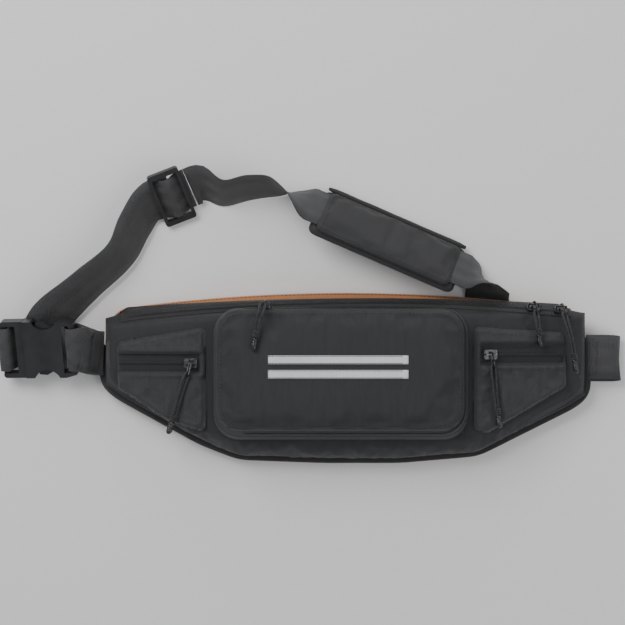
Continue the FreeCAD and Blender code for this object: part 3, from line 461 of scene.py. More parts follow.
def build_knot(name, route, body):
    """The wrap of cord just above the moulded end: two turns round both legs."""
    middle = (Vector(route[0]) + Vector(route[-1])) / 2
    before = (Vector(route[1]) + Vector(route[-2])) / 2
    back = (before - middle).normalized()
    side = (Vector(route[0]) - Vector(route[-1])).normalized()
    top = back.cross(side).normalized()
    turns, steps, sides, radius = 2.5, 56, 8, 0.85
    loops = []
    for step in range(steps + 1):
        angle = 2 * math.pi * turns * step / steps
        out = side * (math.cos(angle) * 2.45) + top * (math.sin(angle) * 1.75)
        centre = middle + back * (1.4 + 4.4 * step / steps) + out
        normal = out.normalized()
        loops.append([centre + (normal * math.cos(b) + back * math.sin(b)) * radius
                      for b in (2 * math.pi * k / sides for k in range(sides))])
    knot = lofted(f"{name}_knot", loops)
    smooth(knot)
    belongs(knot, body, "pull_cord")
    return knot


def build_pulls():
    for name, (length, route) in PULLS.items():
        cord = build_cord(f"{name}_loop", route)
        belongs(cord, name, "pull_cord", None, [f"{name}_cord"])
        pieces = [build_pull_end(name, route, name), build_knot(name, route, name)]


# ---------------------------------------------------------------- cloth
SOFT = []


def loosen(piece, pinned, pressure, cap, swell=0.0, bend=0.6):
    """Marks a piece for the cloth run: pinned picks the points that are sewn down, cap is the most a point
    may move, in millimetres, and swell lets the cloth be a little larger than its frame, so that it creases."""
    SOFT.append((piece, pinned, pressure, cap, swell, bend))


def run_cloth(frames=20):
    """Blows every soft piece up a little between its seams, then keeps the shape it took."""
    starts = []
    for piece, pinned, pressure, cap, swell, bend in SOFT:
        held = [v.index for v in piece.data.vertices if pinned(v.co / MM)]
        group = piece.vertex_groups.new(name="sewn")
        group.add(held, 1.0, "REPLACE")
        cloth_modifier = piece.modifiers.new("cloth", "CLOTH")
        settings = cloth_modifier.settings
        settings.vertex_group_mass = "sewn"
        settings.use_pressure = True
        settings.uniform_pressure_force = pressure
        settings.shrink_min = -swell
        settings.mass = 0.25
        settings.quality = 6
        settings.bending_stiffness = bend
        settings.tension_stiffness = settings.compression_stiffness = 25
        settings.air_damping = 3
        settings.effector_weights.gravity = 0
        cloth_modifier.point_cache.frame_start = 1
        cloth_modifier.point_cache.frame_end = frames
        starts.append([v.co.copy() for v in piece.data.vertices])
    for step in range(1, frames + 1):
        scene.frame_set(step)
    depsgraph = bpy.context.evaluated_depsgraph_get()
    results = []
    for piece, *_ in SOFT:
        shown = piece.evaluated_get(depsgraph)
        results.append([v.co.copy() for v in shown.to_mesh().vertices])
        shown.to_mesh_clear()
    for (piece, _, _, cap, _, _), start, result in zip(SOFT, starts, results):
        piece.modifiers.remove(piece.modifiers["cloth"])
        piece.vertex_groups.clear()
        for vertex, first, last in zip(piece.data.vertices, start, result):
            move = last - first
            far = cap * MM
            vertex.co = first + (move * (far / move.length) if move.length > far else move)
    scene.frame_set(1)


# ---------------------------------------------------------------- pillows: padded shapes on an outline
def inset_corners(corners, inset):
    """A convex outline, counter-clockwise, moved inwards by inset."""
    lines = []
    for a, b in zip(corners, corners[1:] + corners[:1]):
        a, b = Vector(a), Vector(b)
        inward = Vector((a.y - b.y, b.x - a.x)).normalized()
        lines.append((a + inward * inset, (b - a).normalized()))
    moved = []
    for (a, along), (b, beside) in zip(lines[-1:] + lines[:-1], lines):
        share = (b - a).cross(beside) / along.cross(beside)
        moved.append(a + along * share)
    return moved


class Outline:
    """A convex outline with rounded corners: how far inside it a point lies, and its nearest edge point."""

    def __init__(self, corners, radius):
        self.inner, self.radius = inset_corners(corners, radius), radius
        self.low = Vector((min(x for x, _ in corners), min(y for _, y in corners)))
        self.high = Vector((max(x for x, _ in corners), max(y for _, y in corners)))

    def depth(self, point):
        """(distance inside the rounded outline, negative outside, and the point moved onto it if outside)."""
        best, nearest, inside = 1e9, None, True
        for a, b in zip(self.inner, self.inner[1:] + self.inner[:1]):
            run = b - a
            share = max(0.0, min(1.0, (point - a).dot(run) / run.length_squared))
            foot = a + run * share
            if (point - foot).length < best:
                best, nearest = (point - foot).length, foot
            inside = inside and run.cross(point - a) >= 0
        if inside:
            return self.radius + best, point
        if best <= self.radius:
            return self.radius - best, point
        return self.radius - best, nearest + (point - nearest) * (self.radius / best)


def pillow(name, outline, spacing, height, skirt):
    """A domed form over an outline: height(depth, x, y) above its plane, and sides down to skirt."""
    columns = max(2, round((outline.high.x - outline.low.x) / spacing))
    rows = max(2, round((outline.high.y - outline.low.y) / spacing))
    made = bmesh.new()
    grid = []
    for row in range(rows + 1):
        for column in range(columns + 1):
            x = outline.low.x + (outline.high.x - outline.low.x) * column / columns
            y = outline.low.y + (outline.high.y - outline.low.y) * row / rows
            depth, place = outline.depth(Vector((x, y)))
            z = height(max(0.0, depth), place.x, place.y)
            grid.append(made.verts.new((place.x * MM, place.y * MM, z * MM)))
    for face in grid_faces(rows + 1, columns + 1):
        made.faces.new([grid[index] for index in face])
    bmesh.ops.remove_doubles(made, verts=made.verts, dist=spacing * 0.28 * MM)
    bmesh.ops.dissolve_degenerate(made, edges=made.edges, dist=1e-6)
    rim = [edge for edge in made.edges if len(edge.link_faces) == 1]
    walls = bmesh.ops.extrude_edge_only(made, edges=rim)["geom"]
    low = [item for item in walls if isinstance(item, bmesh.types.BMVert)]
    for vertex in low:
        vertex.co.z = skirt * MM
    closing = [item for item in walls if isinstance(item, bmesh.types.BMEdge)]
    bmesh.ops.holes_fill(made, edges=[e for e in closing if len(e.link_faces) == 1], sides=0)
    mesh = bpy.data.meshes.new(name)
    made.to_mesh(mesh)
    made.free()
    piece = bpy.data.objects.new(name, mesh)
    scene.collection.objects.link(piece)
    return piece


def rolled(depth, radius):
    """The height of a rounded edge at a depth inside it, from 0 at the edge to 1."""
    if depth >= radius:
        return 1.0
    return math.sqrt(max(0.0, 1 - (1 - depth / radius) ** 2))


def lumps(x, y, scale, seed):
    return noise.noise(Vector((x / scale, y / scale, seed * 7.3)))


def creases(x, y, seed, across=9.0, along=46.0):
    """Long soft creases, sharper on their crests."""
    value = noise.noise(Vector((x / across, y / along, seed * 3.1)))
    return 0.6 - abs(value) * 1.6


def surface(piece, x, y, lift=0.0):
    """The point of a piece's top straight below (x, y), in millimetres, and its normal."""
    start = piece.matrix_world.inverted() @ Vector((x * MM, y * MM, 0.2))
    found, point, normal, _ = piece.ray_cast(start, Vector((0, 0, -1)))
    if not found:
        return None
    return piece.matrix_world @ point / MM + normal * lift, normal


def surface_path(piece, line, step=3.0, lift=0.0):
    """A path of (point, normal) on a piece's top, over a plan line of (x, y) corners."""
    path = []
    for (xa, ya), (xb, yb) in zip(line, line[1:]):
        count = max(1, round(math.hypot(xb - xa, yb - ya) / step))
        for number in range(count):
            share = number / count
            hit = surface(piece, xa + (xb - xa) * share, ya + (yb - ya) * share, lift)
            if hit:
                path.append(hit)
    return path


# ---------------------------------------------------------------- the bag's outline
LOWER = [(-200, -6), (-190, -15), (-120, -53.5), (-88, -66), (-20, -68.5), (46, -68.5), (110, -63), (190, -23),
         (200, -15)]
FACE, SLOPE_LEFT, SLOPE_RIGHT, SLOPE = 38.0, -108.0, 101.0, math.radians(8)


def height_between(points, x):
    for (xa, ya), (xb, yb) in zip(points, points[1:]):
        if x <= xb:
            return ya + (yb - ya) * (x - xa) / (xb - xa)
    return points[-1][1]


def lower_y(x):
    return sum(height_between(LOWER, max(-200, min(200, x + step))) for step in (-6, -3, 0, 3, 6)) / 5


def upper_y(x):
    return min(64 - (x - 20) ** 2 / 5400, 42 + (200 - abs(x)) / 19 * 15.5)


def face_z(x):
    return FACE - max(SLOPE_LEFT - x, x - SLOPE_RIGHT, 0.0) * math.tan(SLOPE)


def zip_place(x, rise, down):
    """A point of the top zip's band: rise off its face, down towards the bag's front."""
    plane, lean = math.radians(40), math.radians(45)
    apex = Vector((20, 59.8, 29.5))
    centre = apex - Vector((0, math.cos(plane), math.sin(plane))) * 1343
    turn = Matrix.Rotation(-math.asin((x - 20) / 1343), 3, Vector((0, -math.sin(plane), math.cos(plane))))
    start = apex + Vector((0, math.sin(lean), math.cos(lean))) * rise
    start += Vector((0, -math.cos(lean), math.sin(lean))) * down
    return centre + turn @ (start - centre)


def rounded_line(points, rounds=2):
    """An open line with its corners cut back, its ends kept."""
    for _ in range(rounds):
        line = [points[0]]
        for a, b in zip(points, points[1:]):
            line += [a.lerp(b, 0.25), a.lerp(b, 0.75)]
        points = line + [points[-1]]
    return points


def even_line(points, count):
    """The line again, as count points at even steps."""
    runs = [0.0]
    for a, b in zip(points, points[1:]):
        runs.append(runs[-1] + (b - a).length)
    line, part = [], 0
    for number in range(count):
        at = runs[-1] * number / (count - 1)
        while part < len(points) - 2 and runs[part + 1] < at:
            part += 1
        share = (at - runs[part]) / max(1e-9, runs[part + 1] - runs[part])
        line.append(points[part].lerp(points[part + 1], share))
    return line


SHELL_ROWS = 56


def shell_line(x):
    """The front's section at x, from the bottom seam over the face to the top seam."""
    low, high, face = lower_y(x), upper_y(x), face_z(x)
    outer, inner = zip_place(x, -0.4, -5.3), zip_place(x, -0.4, 5.3)
    points = [(low, 14.4), (low - 0.6, 19.5), (low + 3.5, face - 8), (low + 15, face - 0.2),
              (inner.y - 14, face), (inner.y - 2, face - 0.3), (inner.y, inner.z), (outer.y, outer.z),
              (high - 0.2, outer.z - 3), (high, 14.4)]
    line = even_line(rounded_line([Vector(p) for p in points]), SHELL_ROWS)
    flat = rolled(200 - abs(x), 9.0)
    return [Vector((x, y, 14.4 + (z - 14.4) * flat)) for y, z in line]


def plan_outline(inset=0.0):
    """The bag's plan outline, counter-clockwise, top edge bulging, as (point, outward direction)."""
    corners = [Vector(p) for p in LOWER] + [Vector((200, 38))]
    for step in range(15):
        share = step / 14
        corners.append(Vector((188 - 376 * share, 55.5 + 13 * (1 - (2 * share - 1) ** 2))))
    corners.append(Vector((-200, 42)))
    ring = []
    for a, b in zip(corners, corners[1:] + corners[:1]):
        count = max(1, round((b - a).length / 4))
        ring += [a.lerp(b, step / count) for step in range(count)]
    for _ in range(3):
        ring = [(before + here * 2 + after) / 4 for before, here, after in zip(ring[-1:] + ring, ring,
                                                                              ring[1:] + ring[:1])]
    out = []
    for before, here, after in zip(ring[-1:] + ring, ring, ring[1:] + ring[:1]):
        along = (after - before).normalized()
        out.append((here, Vector((along.y, -along.x))))
    return out


def ring_loft(name, outline, profile, closed=True):
    """A form whose loops are the outline moved inwards, at a height each: profile is [(inset, z)]."""
    loops = [[Vector((*(point - out * inset), z)) for point, out in outline] for inset, z in profile]
    count = len(outline)
    points = [p for loop in loops for p in loop]
    faces = grid_faces(len(loops), count, True)
    if closed:
        faces += [tuple(range(count))[::-1], tuple(range(len(points) - count, len(points)))]
    return make_object(name, points, faces)


def thicken(piece, thick, offset=-1.0):
    modifier = piece.modifiers.new("thickness", "SOLIDIFY")
    modifier.thickness = thick * MM
    modifier.offset = offset


def seam(name, path, body="bag", pitch=3.2, material="stitching", slot="shell_fabric"):
    if len(path) < 2:
        return
    piece = join_prisms(name, stitch_run(path, pitch))
    smooth(piece)
    belongs(piece, body, slot, material)


def teeth(name, path, node, pitch=1.5):
    piece = join_prisms(name, teeth_run(path, pitch))
    smooth(piece)
    belongs(piece, "bag", "zipper_coil", None, [node] if node else [])


# ---------------------------------------------------------------- the bag's back and front
def build_back():
    outline = plan_outline()
    profile = [(9, 0.15), (5, 0.5), (2.4, 1.6), (0.8, 3.6), (0.1, 6.5), (0, 9), (0.6, 11.8), (2.4, 13.4), (6, 14)]
    back = ring_loft("back_cushion", outline, profile)
    smooth(back, 1)
    belongs(back, "bag", "tan_fabric", None, ["back_panel"])
    upper_rim = [(point, out) for point, out in outline if point.y > 44]
    path = [(Vector((*(point - out * 1.4), 12.5)), Vector((*(out * 0.6), 0.8))) for point, out in upper_rim]
    seam("back_rim_stitches", path, pitch=3.4, slot="tan_fabric")


def build_front():
    columns = 161
    points = []
    for column in range(columns):
        x = -200 + 400 * column / (columns - 1)
        for place in shell_line(x):
            bump = creases(place.x, place.y, 1, 7.0, 40.0) * 0.55 + lumps(place.x, place.y, 22, 3) * 0.6
            free = min(1.0, max(0.0, (place.z - 18) / 8)) * min(1.0, max(0.0, (50 - place.y) / 6))
            points.append(place + Vector((0, 0, bump * free * 0.9)))
    shell = make_object("front_shell_cloth", points, grid_faces(columns, SHELL_ROWS))
    smooth(shell)
    belongs(shell, "bag", "shell_fabric", None, ["front_shell"])

    def pinned(place):
        band = place.y > zip_place(place.x, 0, 5.3).y - 3.0
        beneath = abs(place.x + 4) < 108 and -54 < place.y < 57
        beneath = beneath or (111 < abs(place.x) < 196 and -40 < place.y < 44)
        return place.z < 17 or abs(place.x) > 196 or band or beneath

    loosen(shell, pinned, 3.0, 3.0, 0.02)
    return shell


def build_binding():
    """The folded tape over the seam between the back and the front, leaning outwards below the bag."""
    outline = [(point, out) for point, out in plan_outline()
               if point.y < 30 and (out.y < -0.05 or abs(out.x) > 0.9)]
    start = min(range(len(outline)), key=lambda n: outline[n][0].x + (0 if outline[n][0].y > 20 else 500))
    outline = outline[start:] + outline[:start]
    loops = []
    for number, (point, out) in enumerate(outline):
        wave = noise.noise(Vector((number * 0.21, 2.0, 0))) * 0.5
        flat = [(-0.4, 15.4), (2.2, 14.6), (4.8, 13.3 + wave), (5.5, 12.3 + wave), (4.9, 11.6 + wave), (2.0, 12.3),
                (-0.4, 13.0)]
        loops.append([Vector((*(point + out * reach), z)) for reach, z in flat])
    tape = lofted("edge_binding_tape", loops)
    smooth(tape, 1)
    belongs(tape, "bag", "binding", None, ["edge_binding"])
    path = [(Vector((*(point + out * 3.9), 14.0)), Vector((*(out * 0.4), 0.92))) for point, out in outline]
    seam("binding_stitches", path, pitch=3.0, slot="binding")


def build_top_zip():
    spans, across_steps = 150, 9
    points = []
    for column in range(spans):
        x = -186.5 + 373.5 * column / (spans - 1)
        ends = min(1.0, (column + 2) / 6, (spans + 1 - column) / 6)
        for row in range(across_steps):
            down = (-5.7 + 11.4 * row / (across_steps - 1)) * (0.75 + 0.25 * ends)
            rise = 0.5 - 0.5 * max(0.0, abs(down) - 4.4) + (0.25 if abs(down) < 2.6 else 0.0)
            points.append(zip_place(x, rise, down))
    tape = make_object("top_zip_tape", points, grid_faces(spans, across_steps))
    smooth(tape)
    thicken(tape, 0.7)
    belongs(tape, "bag", "zipper_tape", None, ["top_zipper_tape"])
    facing = Vector((0, math.sin(math.radians(45)), math.cos(math.radians(45))))
    line = [(zip_place(-181 + 362 * n / 160, 0.85, 0.0), facing) for n in range(161)]
    teeth("top_zip_teeth", line, "top_zipper_coil")
    for side, name in ((-4.7, "outer"), (4.7, "inner")):
        line = [(zip_place(-184 + 368 * n / 90, 0.62, side), facing) for n in range(91)]
        seam(f"top_zip_{name}_stitches", line, pitch=3.0, slot="zipper_tape")


# ---------------------------------------------------------------- the centre pocket
def rounded_outline(x0, y0, x1, y1, radius, step=3.0):
    """A rounded rectangle, counter-clockwise, as (point, outward direction)."""
    corners = [(x1 - radius, y0 + radius, -90), (x1 - radius, y1 - radius, 0), (x0 + radius, y1 - radius, 90),
               (x0 + radius, y0 + radius, 180)]
    ring = []
    for cx, cy, first in corners:
        for number in range(9):
            angle = math.radians(first + 90 * number / 8)
            out = Vector((math.cos(angle), math.sin(angle)))
            ring.append((Vector((cx, cy)) + out * radius, out))
    full = []
    for (a, out_a), (b, out_b) in zip(ring, ring[1:] + ring[:1]):
        count = max(1, round((b - a).length / step))
        full += [(a.lerp(b, n / count), out_a.lerp(out_b, n / count).normalized()) for n in range(count)]
    return full


def wall_loops(low, high, heights):
    """Loops between two outlines of equal count: heights is [(share, z, swell)]."""
    count = min(len(low), len(high))
    loops = []
    for share, z, swell in heights:
        loop = []
        for (a, out), (b, _) in zip(low[:count], high[:count]):
            place = a.lerp(b, share) + out * swell
            loop.append(Vector((place.x, place.y, z)))
        loops.append(loop)
    return loops


def matched_outline(x0, y0, x1, y1, radius, count=220):
    """The rounded rectangle again, with the same count of points, so that two sizes can be joined."""
    ring = rounded_outline(x0, y0, x1, y1, radius, 400)
    parts = []
    per_side = (count - 4 * 8) // 4
    for number, ((a, out_a), (b, out_b)) in enumerate(zip(ring, ring[1:] + ring[:1])):
        pieces = per_side if number % 9 == 8 else 1
        parts += [(a.lerp(b, n / pieces), out_a.lerp(out_b, n / pieces).normalized()) for n in range(pieces)]
    return parts


def wall_piece(name, loops, slot, nodes, thick):
    count = len(loops[0])
    piece = make_object(name, [p for loop in loops for p in loop], grid_faces(len(loops), count, True))
    smooth(piece)
    thicken(piece, thick)
    belongs(piece, "bag", slot, None, nodes)
    return piece


def build_centre_pocket():
    foot = matched_outline(-108, -52, 100, 55.0, 20)
    mid = matched_outline(-107, -49, 98.4, 55.0, 20)
    head = matched_outline(-105, -44, 95.2, 54.4, 20)
    gusset_rise = [(0, 38.0, 0.5), (0.05, 38.6, 0.1), (0.4, 41.5, 0.35), (0.8, 44.5, 0.25), (1, 46.2, 0)]
    tape_rise = [(0, 46.25, 0.0), (0.3, 48.6, 0.15), (0.5, 50.5, 0.2), (0.7, 52.2, 0.15), (1, 54.7, 0)]
    wall_piece("centre_gusset_cloth", wall_loops(foot, mid, gusset_rise), "shell_fabric",
               ["centre_pocket_gusset"], 1.0)
    wall_piece("centre_zip_tape", wall_loops(mid, head, tape_rise), "zipper_tape", ["centre_zipper_tape"], 0.8)
    count = len(mid)
    ring = []
    for (a, out), (b, _) in zip(mid, head):
        place = a.lerp(b, 0.5) + out * 0.25
        ring.append((Vector((place.x, place.y, 50.45)), Vector((*(out * 0.9), 0.42)).normalized()))
    # the zip runs from the top left corner over the top, down the right side and along the bottom
    start = max(range(count), key=lambda n: ring[n][0].y - abs(ring[n][0].x + 87) * 3)
    turn = ring[start:] + ring[:start]
    turn.reverse()
    stop = min(range(count), key=lambda n: turn[n][0].y + abs(turn[n][0].x + 87) * 3)
    teeth("centre_zip_teeth", turn[:stop], "centre_zipper_coil")
    edge = Outline([(-105.4, -44.4), (95.6, -44.4), (95.6, 54.7), (-105.4, 54.7)], 19)

    def height(depth, x, y):
        crinkle = creases(x, y, 4, 6.0, 50.0) * 0.45 + lumps(x, y, 30, 5) * 0.5
        return 54.6 + 3.0 * rolled(depth, 5.5) + 2.2 * rolled(depth, 42) + crinkle * min(1, depth / 10)

    panel = pillow("centre_panel", edge, 2.2, height, 54.3)
    smooth(panel)
    belongs(panel, "bag", "shell_fabric", None, ["centre_pocket_shell"])
    loosen(panel, lambda p: edge.depth(Vector((p.x, p.y)))[0] < 2.5 or p.z < 54.5, 2.5, 2.0, 0.02)
    return panel


def build_strips(panel):
    for name, middle in (("upper", 13.7), ("lower", 2.0)):
        columns, rows = 58, 5
        points = []
        for column in range(columns):
            x = -63.2 + 113.4 * column / (columns - 1)
            for row in range(rows):
                y = middle + 3.5 * (2 * row / (rows - 1) - 1)
                hit = surface(panel, x, y, 0.55)
                points.append(hit[0] if hit else Vector((x, y, 60.8)))
        strip = make_object(f"reflective_{name}", points, grid_faces(columns, rows))
        smooth(strip)
        thicken(strip, 0.45)
        belongs(strip, "bag", "reflective", None, [f"reflective_strip_{name}"])
        for edge in (-2.9, 2.9):
            path = surface_path(panel, [(-62, middle + edge), (49, middle + edge)], 3, 0.6)
            seam(f"strip_{name}_{'low' if edge < 0 else 'high'}_stitches", path, pitch=2.6, slot="reflective")
    rim = rounded_outline(-102.2, -41.2, 92.4, 51.4, 17)
    path = surface_path(panel, [tuple(p) for p, _ in rim] + [tuple(rim[0][0])], 3, 0.1)
    seam("centre_panel_stitches", path, pitch=3.2)


# ---------------------------------------------------------------- the side pockets
SIDES = {
    "left": (Matrix.Translation((-108, 0, 38.3)) @ Matrix.Rotation(math.radians(-8), 4, "Y"),
             [(-82, 28), (-81, -11), (-38, -38), (-7, -47), (-7, 40.5)], (-81.5, 2.5)),
    "right": (Matrix.Translation((101, 0, 38.3)) @ Matrix.Rotation(math.radians(8), 4, "Y"),
              [(4, -44), (15, -48), (83, -9), (80, 36), (28, 39), (4, 41)], (10, 9.5)),
}


def placed(place):
    """A local placement in millimetres as an object matrix in metres."""
    return Matrix.Translation(place.to_translation() * MM) @ place.to_3x3().to_4x4()


def build_side_pocket(name):
    place, corners, (wx, wy) = SIDES[name]
    corners = [Vector(p) for p in corners]
    turning = (corners[1] - corners[0]).cross(corners[2] - corners[1])
    outline = Outline(corners if turning > 0 else corners[::-1], 5)
    x0, y0, x1, y1 = wx, wy, wx + 70, wy + 16

    def outside(x, y):
        """How far a point lies outside the zip's window; negative inside it."""
        return max(x0 - x, x - x1, y0 - y, y - y1)

    def height(depth, x, y):
        gap = outside(x, y)
        swell = 4.6 * rolled(depth, 5.5) + 0.6 * min(1, depth / 20) + creases(x, y, 9, 8.0, 34.0) * 0.5 * min(
            1, depth / 8)
        if gap < 0:
            return 0.55
        welt = 0.9 * math.exp(-((gap - 2.2) / 1.5) ** 2)
        return 0.55 + (swell - 0.55 + welt) * min(1.0, gap / 1.1)

    pocket = pillow(f"{name}_pocket", outline, 1.9, height, 0.05)
    smooth(pocket)

    def pinned(place):
        return outline.depth(Vector((place.x, place.y)))[0] < 2.5 or outside(place.x, place.y) < 3.2 or place.z < 0.6

    loosen(pocket, pinned, 3.0, 2.2, 0.03)
    return pocket, place, (x0, y0, x1, y1), outline


def finish_side_pocket(name, pocket, place, window, outline):
    """Moves the pocket on to the bag's slope and adds its zip, seams and welts."""
    pocket.matrix_world = placed(place)
    belongs(pocket, "bag", "shell_fabric", "pocket_fabric", [f"{name}_pocket_panel"])
    x0, y0, x1, y1 = window
    middle = (y0 + y1) / 2
    turn = place.to_3x3()
    facing = turn @ Vector((0, 0, 1))
    spans, rows = 40, 9
    points = []
    for column in range(spans):
        for row in range(rows):
            side = -7.7 + 15.4 * row / (rows - 1)
            rise = 1.0 + (0.7 if abs(side) < 2.8 else 0.0) - 0.25 * max(0, abs(side) - 5.5)
            points.append(place @ Vector((x0 + 0.8 + 68.4 * column / (spans - 1), middle + side, rise)))
    tape = make_object(f"{name}_zip_tape", points, grid_faces(spans, rows))
    smooth(tape)
    thicken(tape, 0.7)
    belongs(tape, "bag", "zipper_tape", None, [f"{name}_zipper_tape"])
    line = [(place @ Vector((x0 + 1.5 + 67 * n / 40, middle, 1.95)), facing) for n in range(41)]
    teeth(f"{name}_zip_teeth", line, f"{name}_zipper_coil")
    bpy.context.view_layer.update()
    path = []
    count = 90
    for number in range(count):
        angle = 2 * math.pi * number / count
        away = Vector((math.cos(angle), math.sin(angle)))
        centre = (outline.low + outline.high) / 2
        reach = 0.0
        while outline.depth(centre + away * (reach + 0.5))[0] > 2.6 and reach < 80:
            reach += 0.5
        spot = centre + away * reach
        world = place @ Vector((spot.x, spot.y, 5))
        hit = surface(pocket, world.x, world.y, 0.15)
        if hit:
            path.append((hit[0], facing))
    seam(f"{name}_pocket_stitches", path + path[:1], pitch=3.2)
    frame_line = []
    for xa, ya, xb, yb in ((x0 - 1.8, y0 - 1.8, x1 + 1.8, y0 - 1.8), (x0 - 1.8, y1 + 1.8, x1 + 1.8, y1 + 1.8)):
        run = []
        for number in range(31):
            share = number / 30
            spot = place @ Vector((xa + (xb - xa) * share, ya + (yb - ya) * share, 5))
            hit = surface(pocket, spot.x, spot.y, 0.15)
            if hit:
                run.append((hit[0], facing))
        frame_line.append(run)
    for number, run in enumerate(frame_line):
        seam(f"{name}_window_stitches_{number}", run, pitch=2.8)


# ---------------------------------------------------------------- webbing
def slope_at(stations, number, part):
    before, here = stations[max(number - 1, 0)], stations[number]
    after = stations[min(number + 1, len(stations) - 1)]
    back, ahead = (here[0] - before[0]).length, (after[0] - here[0]).length
    if not back or not ahead:
        return (after[part] - before[part]) / (back + ahead)
    behind = (here[part] - before[part]) * (ahead / back)
    beyond = (after[part] - here[part]) * (back / ahead)
    return (behind + beyond) / (back + ahead)


def smooth_stations(stations, gap):
    """Points about gap apart on a smooth curve through the stations; each is (centre, width direction)."""
    out = []
    for number in range(len(stations) - 1):
        near, far = stations[number], stations[number + 1]
        run = (far[0] - near[0]).length
        steps = max(3, round(run / gap))
        for step in range(steps):
            t = step / steps
            out.append([near[part] * (2 * t**3 - 3 * t**2 + 1) + far[part] * (3 * t**2 - 2 * t**3)
                        + slope_at(stations, number, part) * (run * (t**3 - 2 * t**2 + t))
                        + slope_at(stations, number + 1, part) * (run * (t**3 - t**2)) for part in (0, 1)])
    return out + [list(stations[-1])]


def ribbon(name, stations, body, slot, nodes, wide=38.0, thick=1.2, gap=3.0):
    """Webbing through the stations, with rounded selvedges and its weave laid along its own length."""
    line = smooth_stations(stations, gap)
    section = [(-0.5, -0.5), (-0.25, -0.5), (0, -0.5), (0.25, -0.5), (0.5, -0.5), (0.5, 0.5), (0.25, 0.5), (0, 0.5),
               (-0.25, 0.5), (-0.5, 0.5)]
    points, places, along_run = [], [], 0.0
    for number, (centre, across_way) in enumerate(line):
        along = line[min(number + 1, len(line) - 1)][0] - line[max(number - 1, 0)][0]
        across_way = (across_way - along * (across_way.dot(along) / along.length_squared)).normalized()
        face = along.cross(across_way).normalized()
        if number:
            along_run += (centre - line[number - 1][0]).length
        for u, v in section:
            trim = 0.97 if abs(u) == 0.5 else 1.0
            flat = 0.62 if abs(u) == 0.5 else 1.0
            points.append(centre + across_way * (u * wide * trim) + face * (v * thick * flat))
            places.append((u * wide * MM, along_run * MM))
    count = len(section)
    faces = grid_faces(len(line), count, True)
    faces += [tuple(range(count))[::-1], tuple(range(len(points) - count, len(points)))]
    piece = make_object(name, points, faces)
    weave = piece.data.uv_layers.new(name="weave")
    for loop in piece.data.loops:
        weave.data[loop.index].uv = places[loop.vertex_index]
    smooth(piece)
    belongs(piece, body, slot, None, nodes)
    return line


def frame_from(origin, along, beside):
    x = Vector(along).normalized()
    z = x.cross(Vector(beside)).normalized()
    y = z.cross(x)
    return Matrix.Translation(origin) @ Matrix((x, y, z)).transposed().to_4x4()


def across(heading, roll):
    left = Vector((-heading[1], heading[0], 0)).normalized()
    return left * math.cos(math.radians(roll)) + Vector((0, 0, math.sin(math.radians(roll))))


BUCKLE = (Matrix.Translation((-254, 22.5, 20.7)) @ Matrix.Rotation(math.radians(1), 4, "Z")
          @ Matrix.Rotation(math.radians(-5), 4, "Y") @ Matrix.Rotation(math.radians(18), 4, "X"))
GLIDE = frame_from((-144.5, 148.5, 17.5), (0.93, 0.36, 0), across((0.93, 0.36), 33))
PAD_X = Vector((math.cos(math.radians(23.4)), -math.sin(math.radians(23.4)), 0))
PAD = frame_from((36.6, 114, 20.8), PAD_X, -across((PAD_X.x, PAD_X.y), 141))


def buckle_station(x, y, z):
    return BUCKLE @ Vector((x, y, z)), BUCKLE.to_3x3() @ Vector((0, 1, 0))


def glide_station(x, z, y=0.0):
    return GLIDE @ Vector((x, y, z)), GLIDE.to_3x3() @ Vector((0, 1, 0))


def pad_station(x):
    return PAD @ Vector((x, 0, 0)), PAD.to_3x3() @ Vector((0, -1, 0))


def strap_station(x, y, z, heading, roll):
    return Vector((x, y, z)), across(heading, roll)


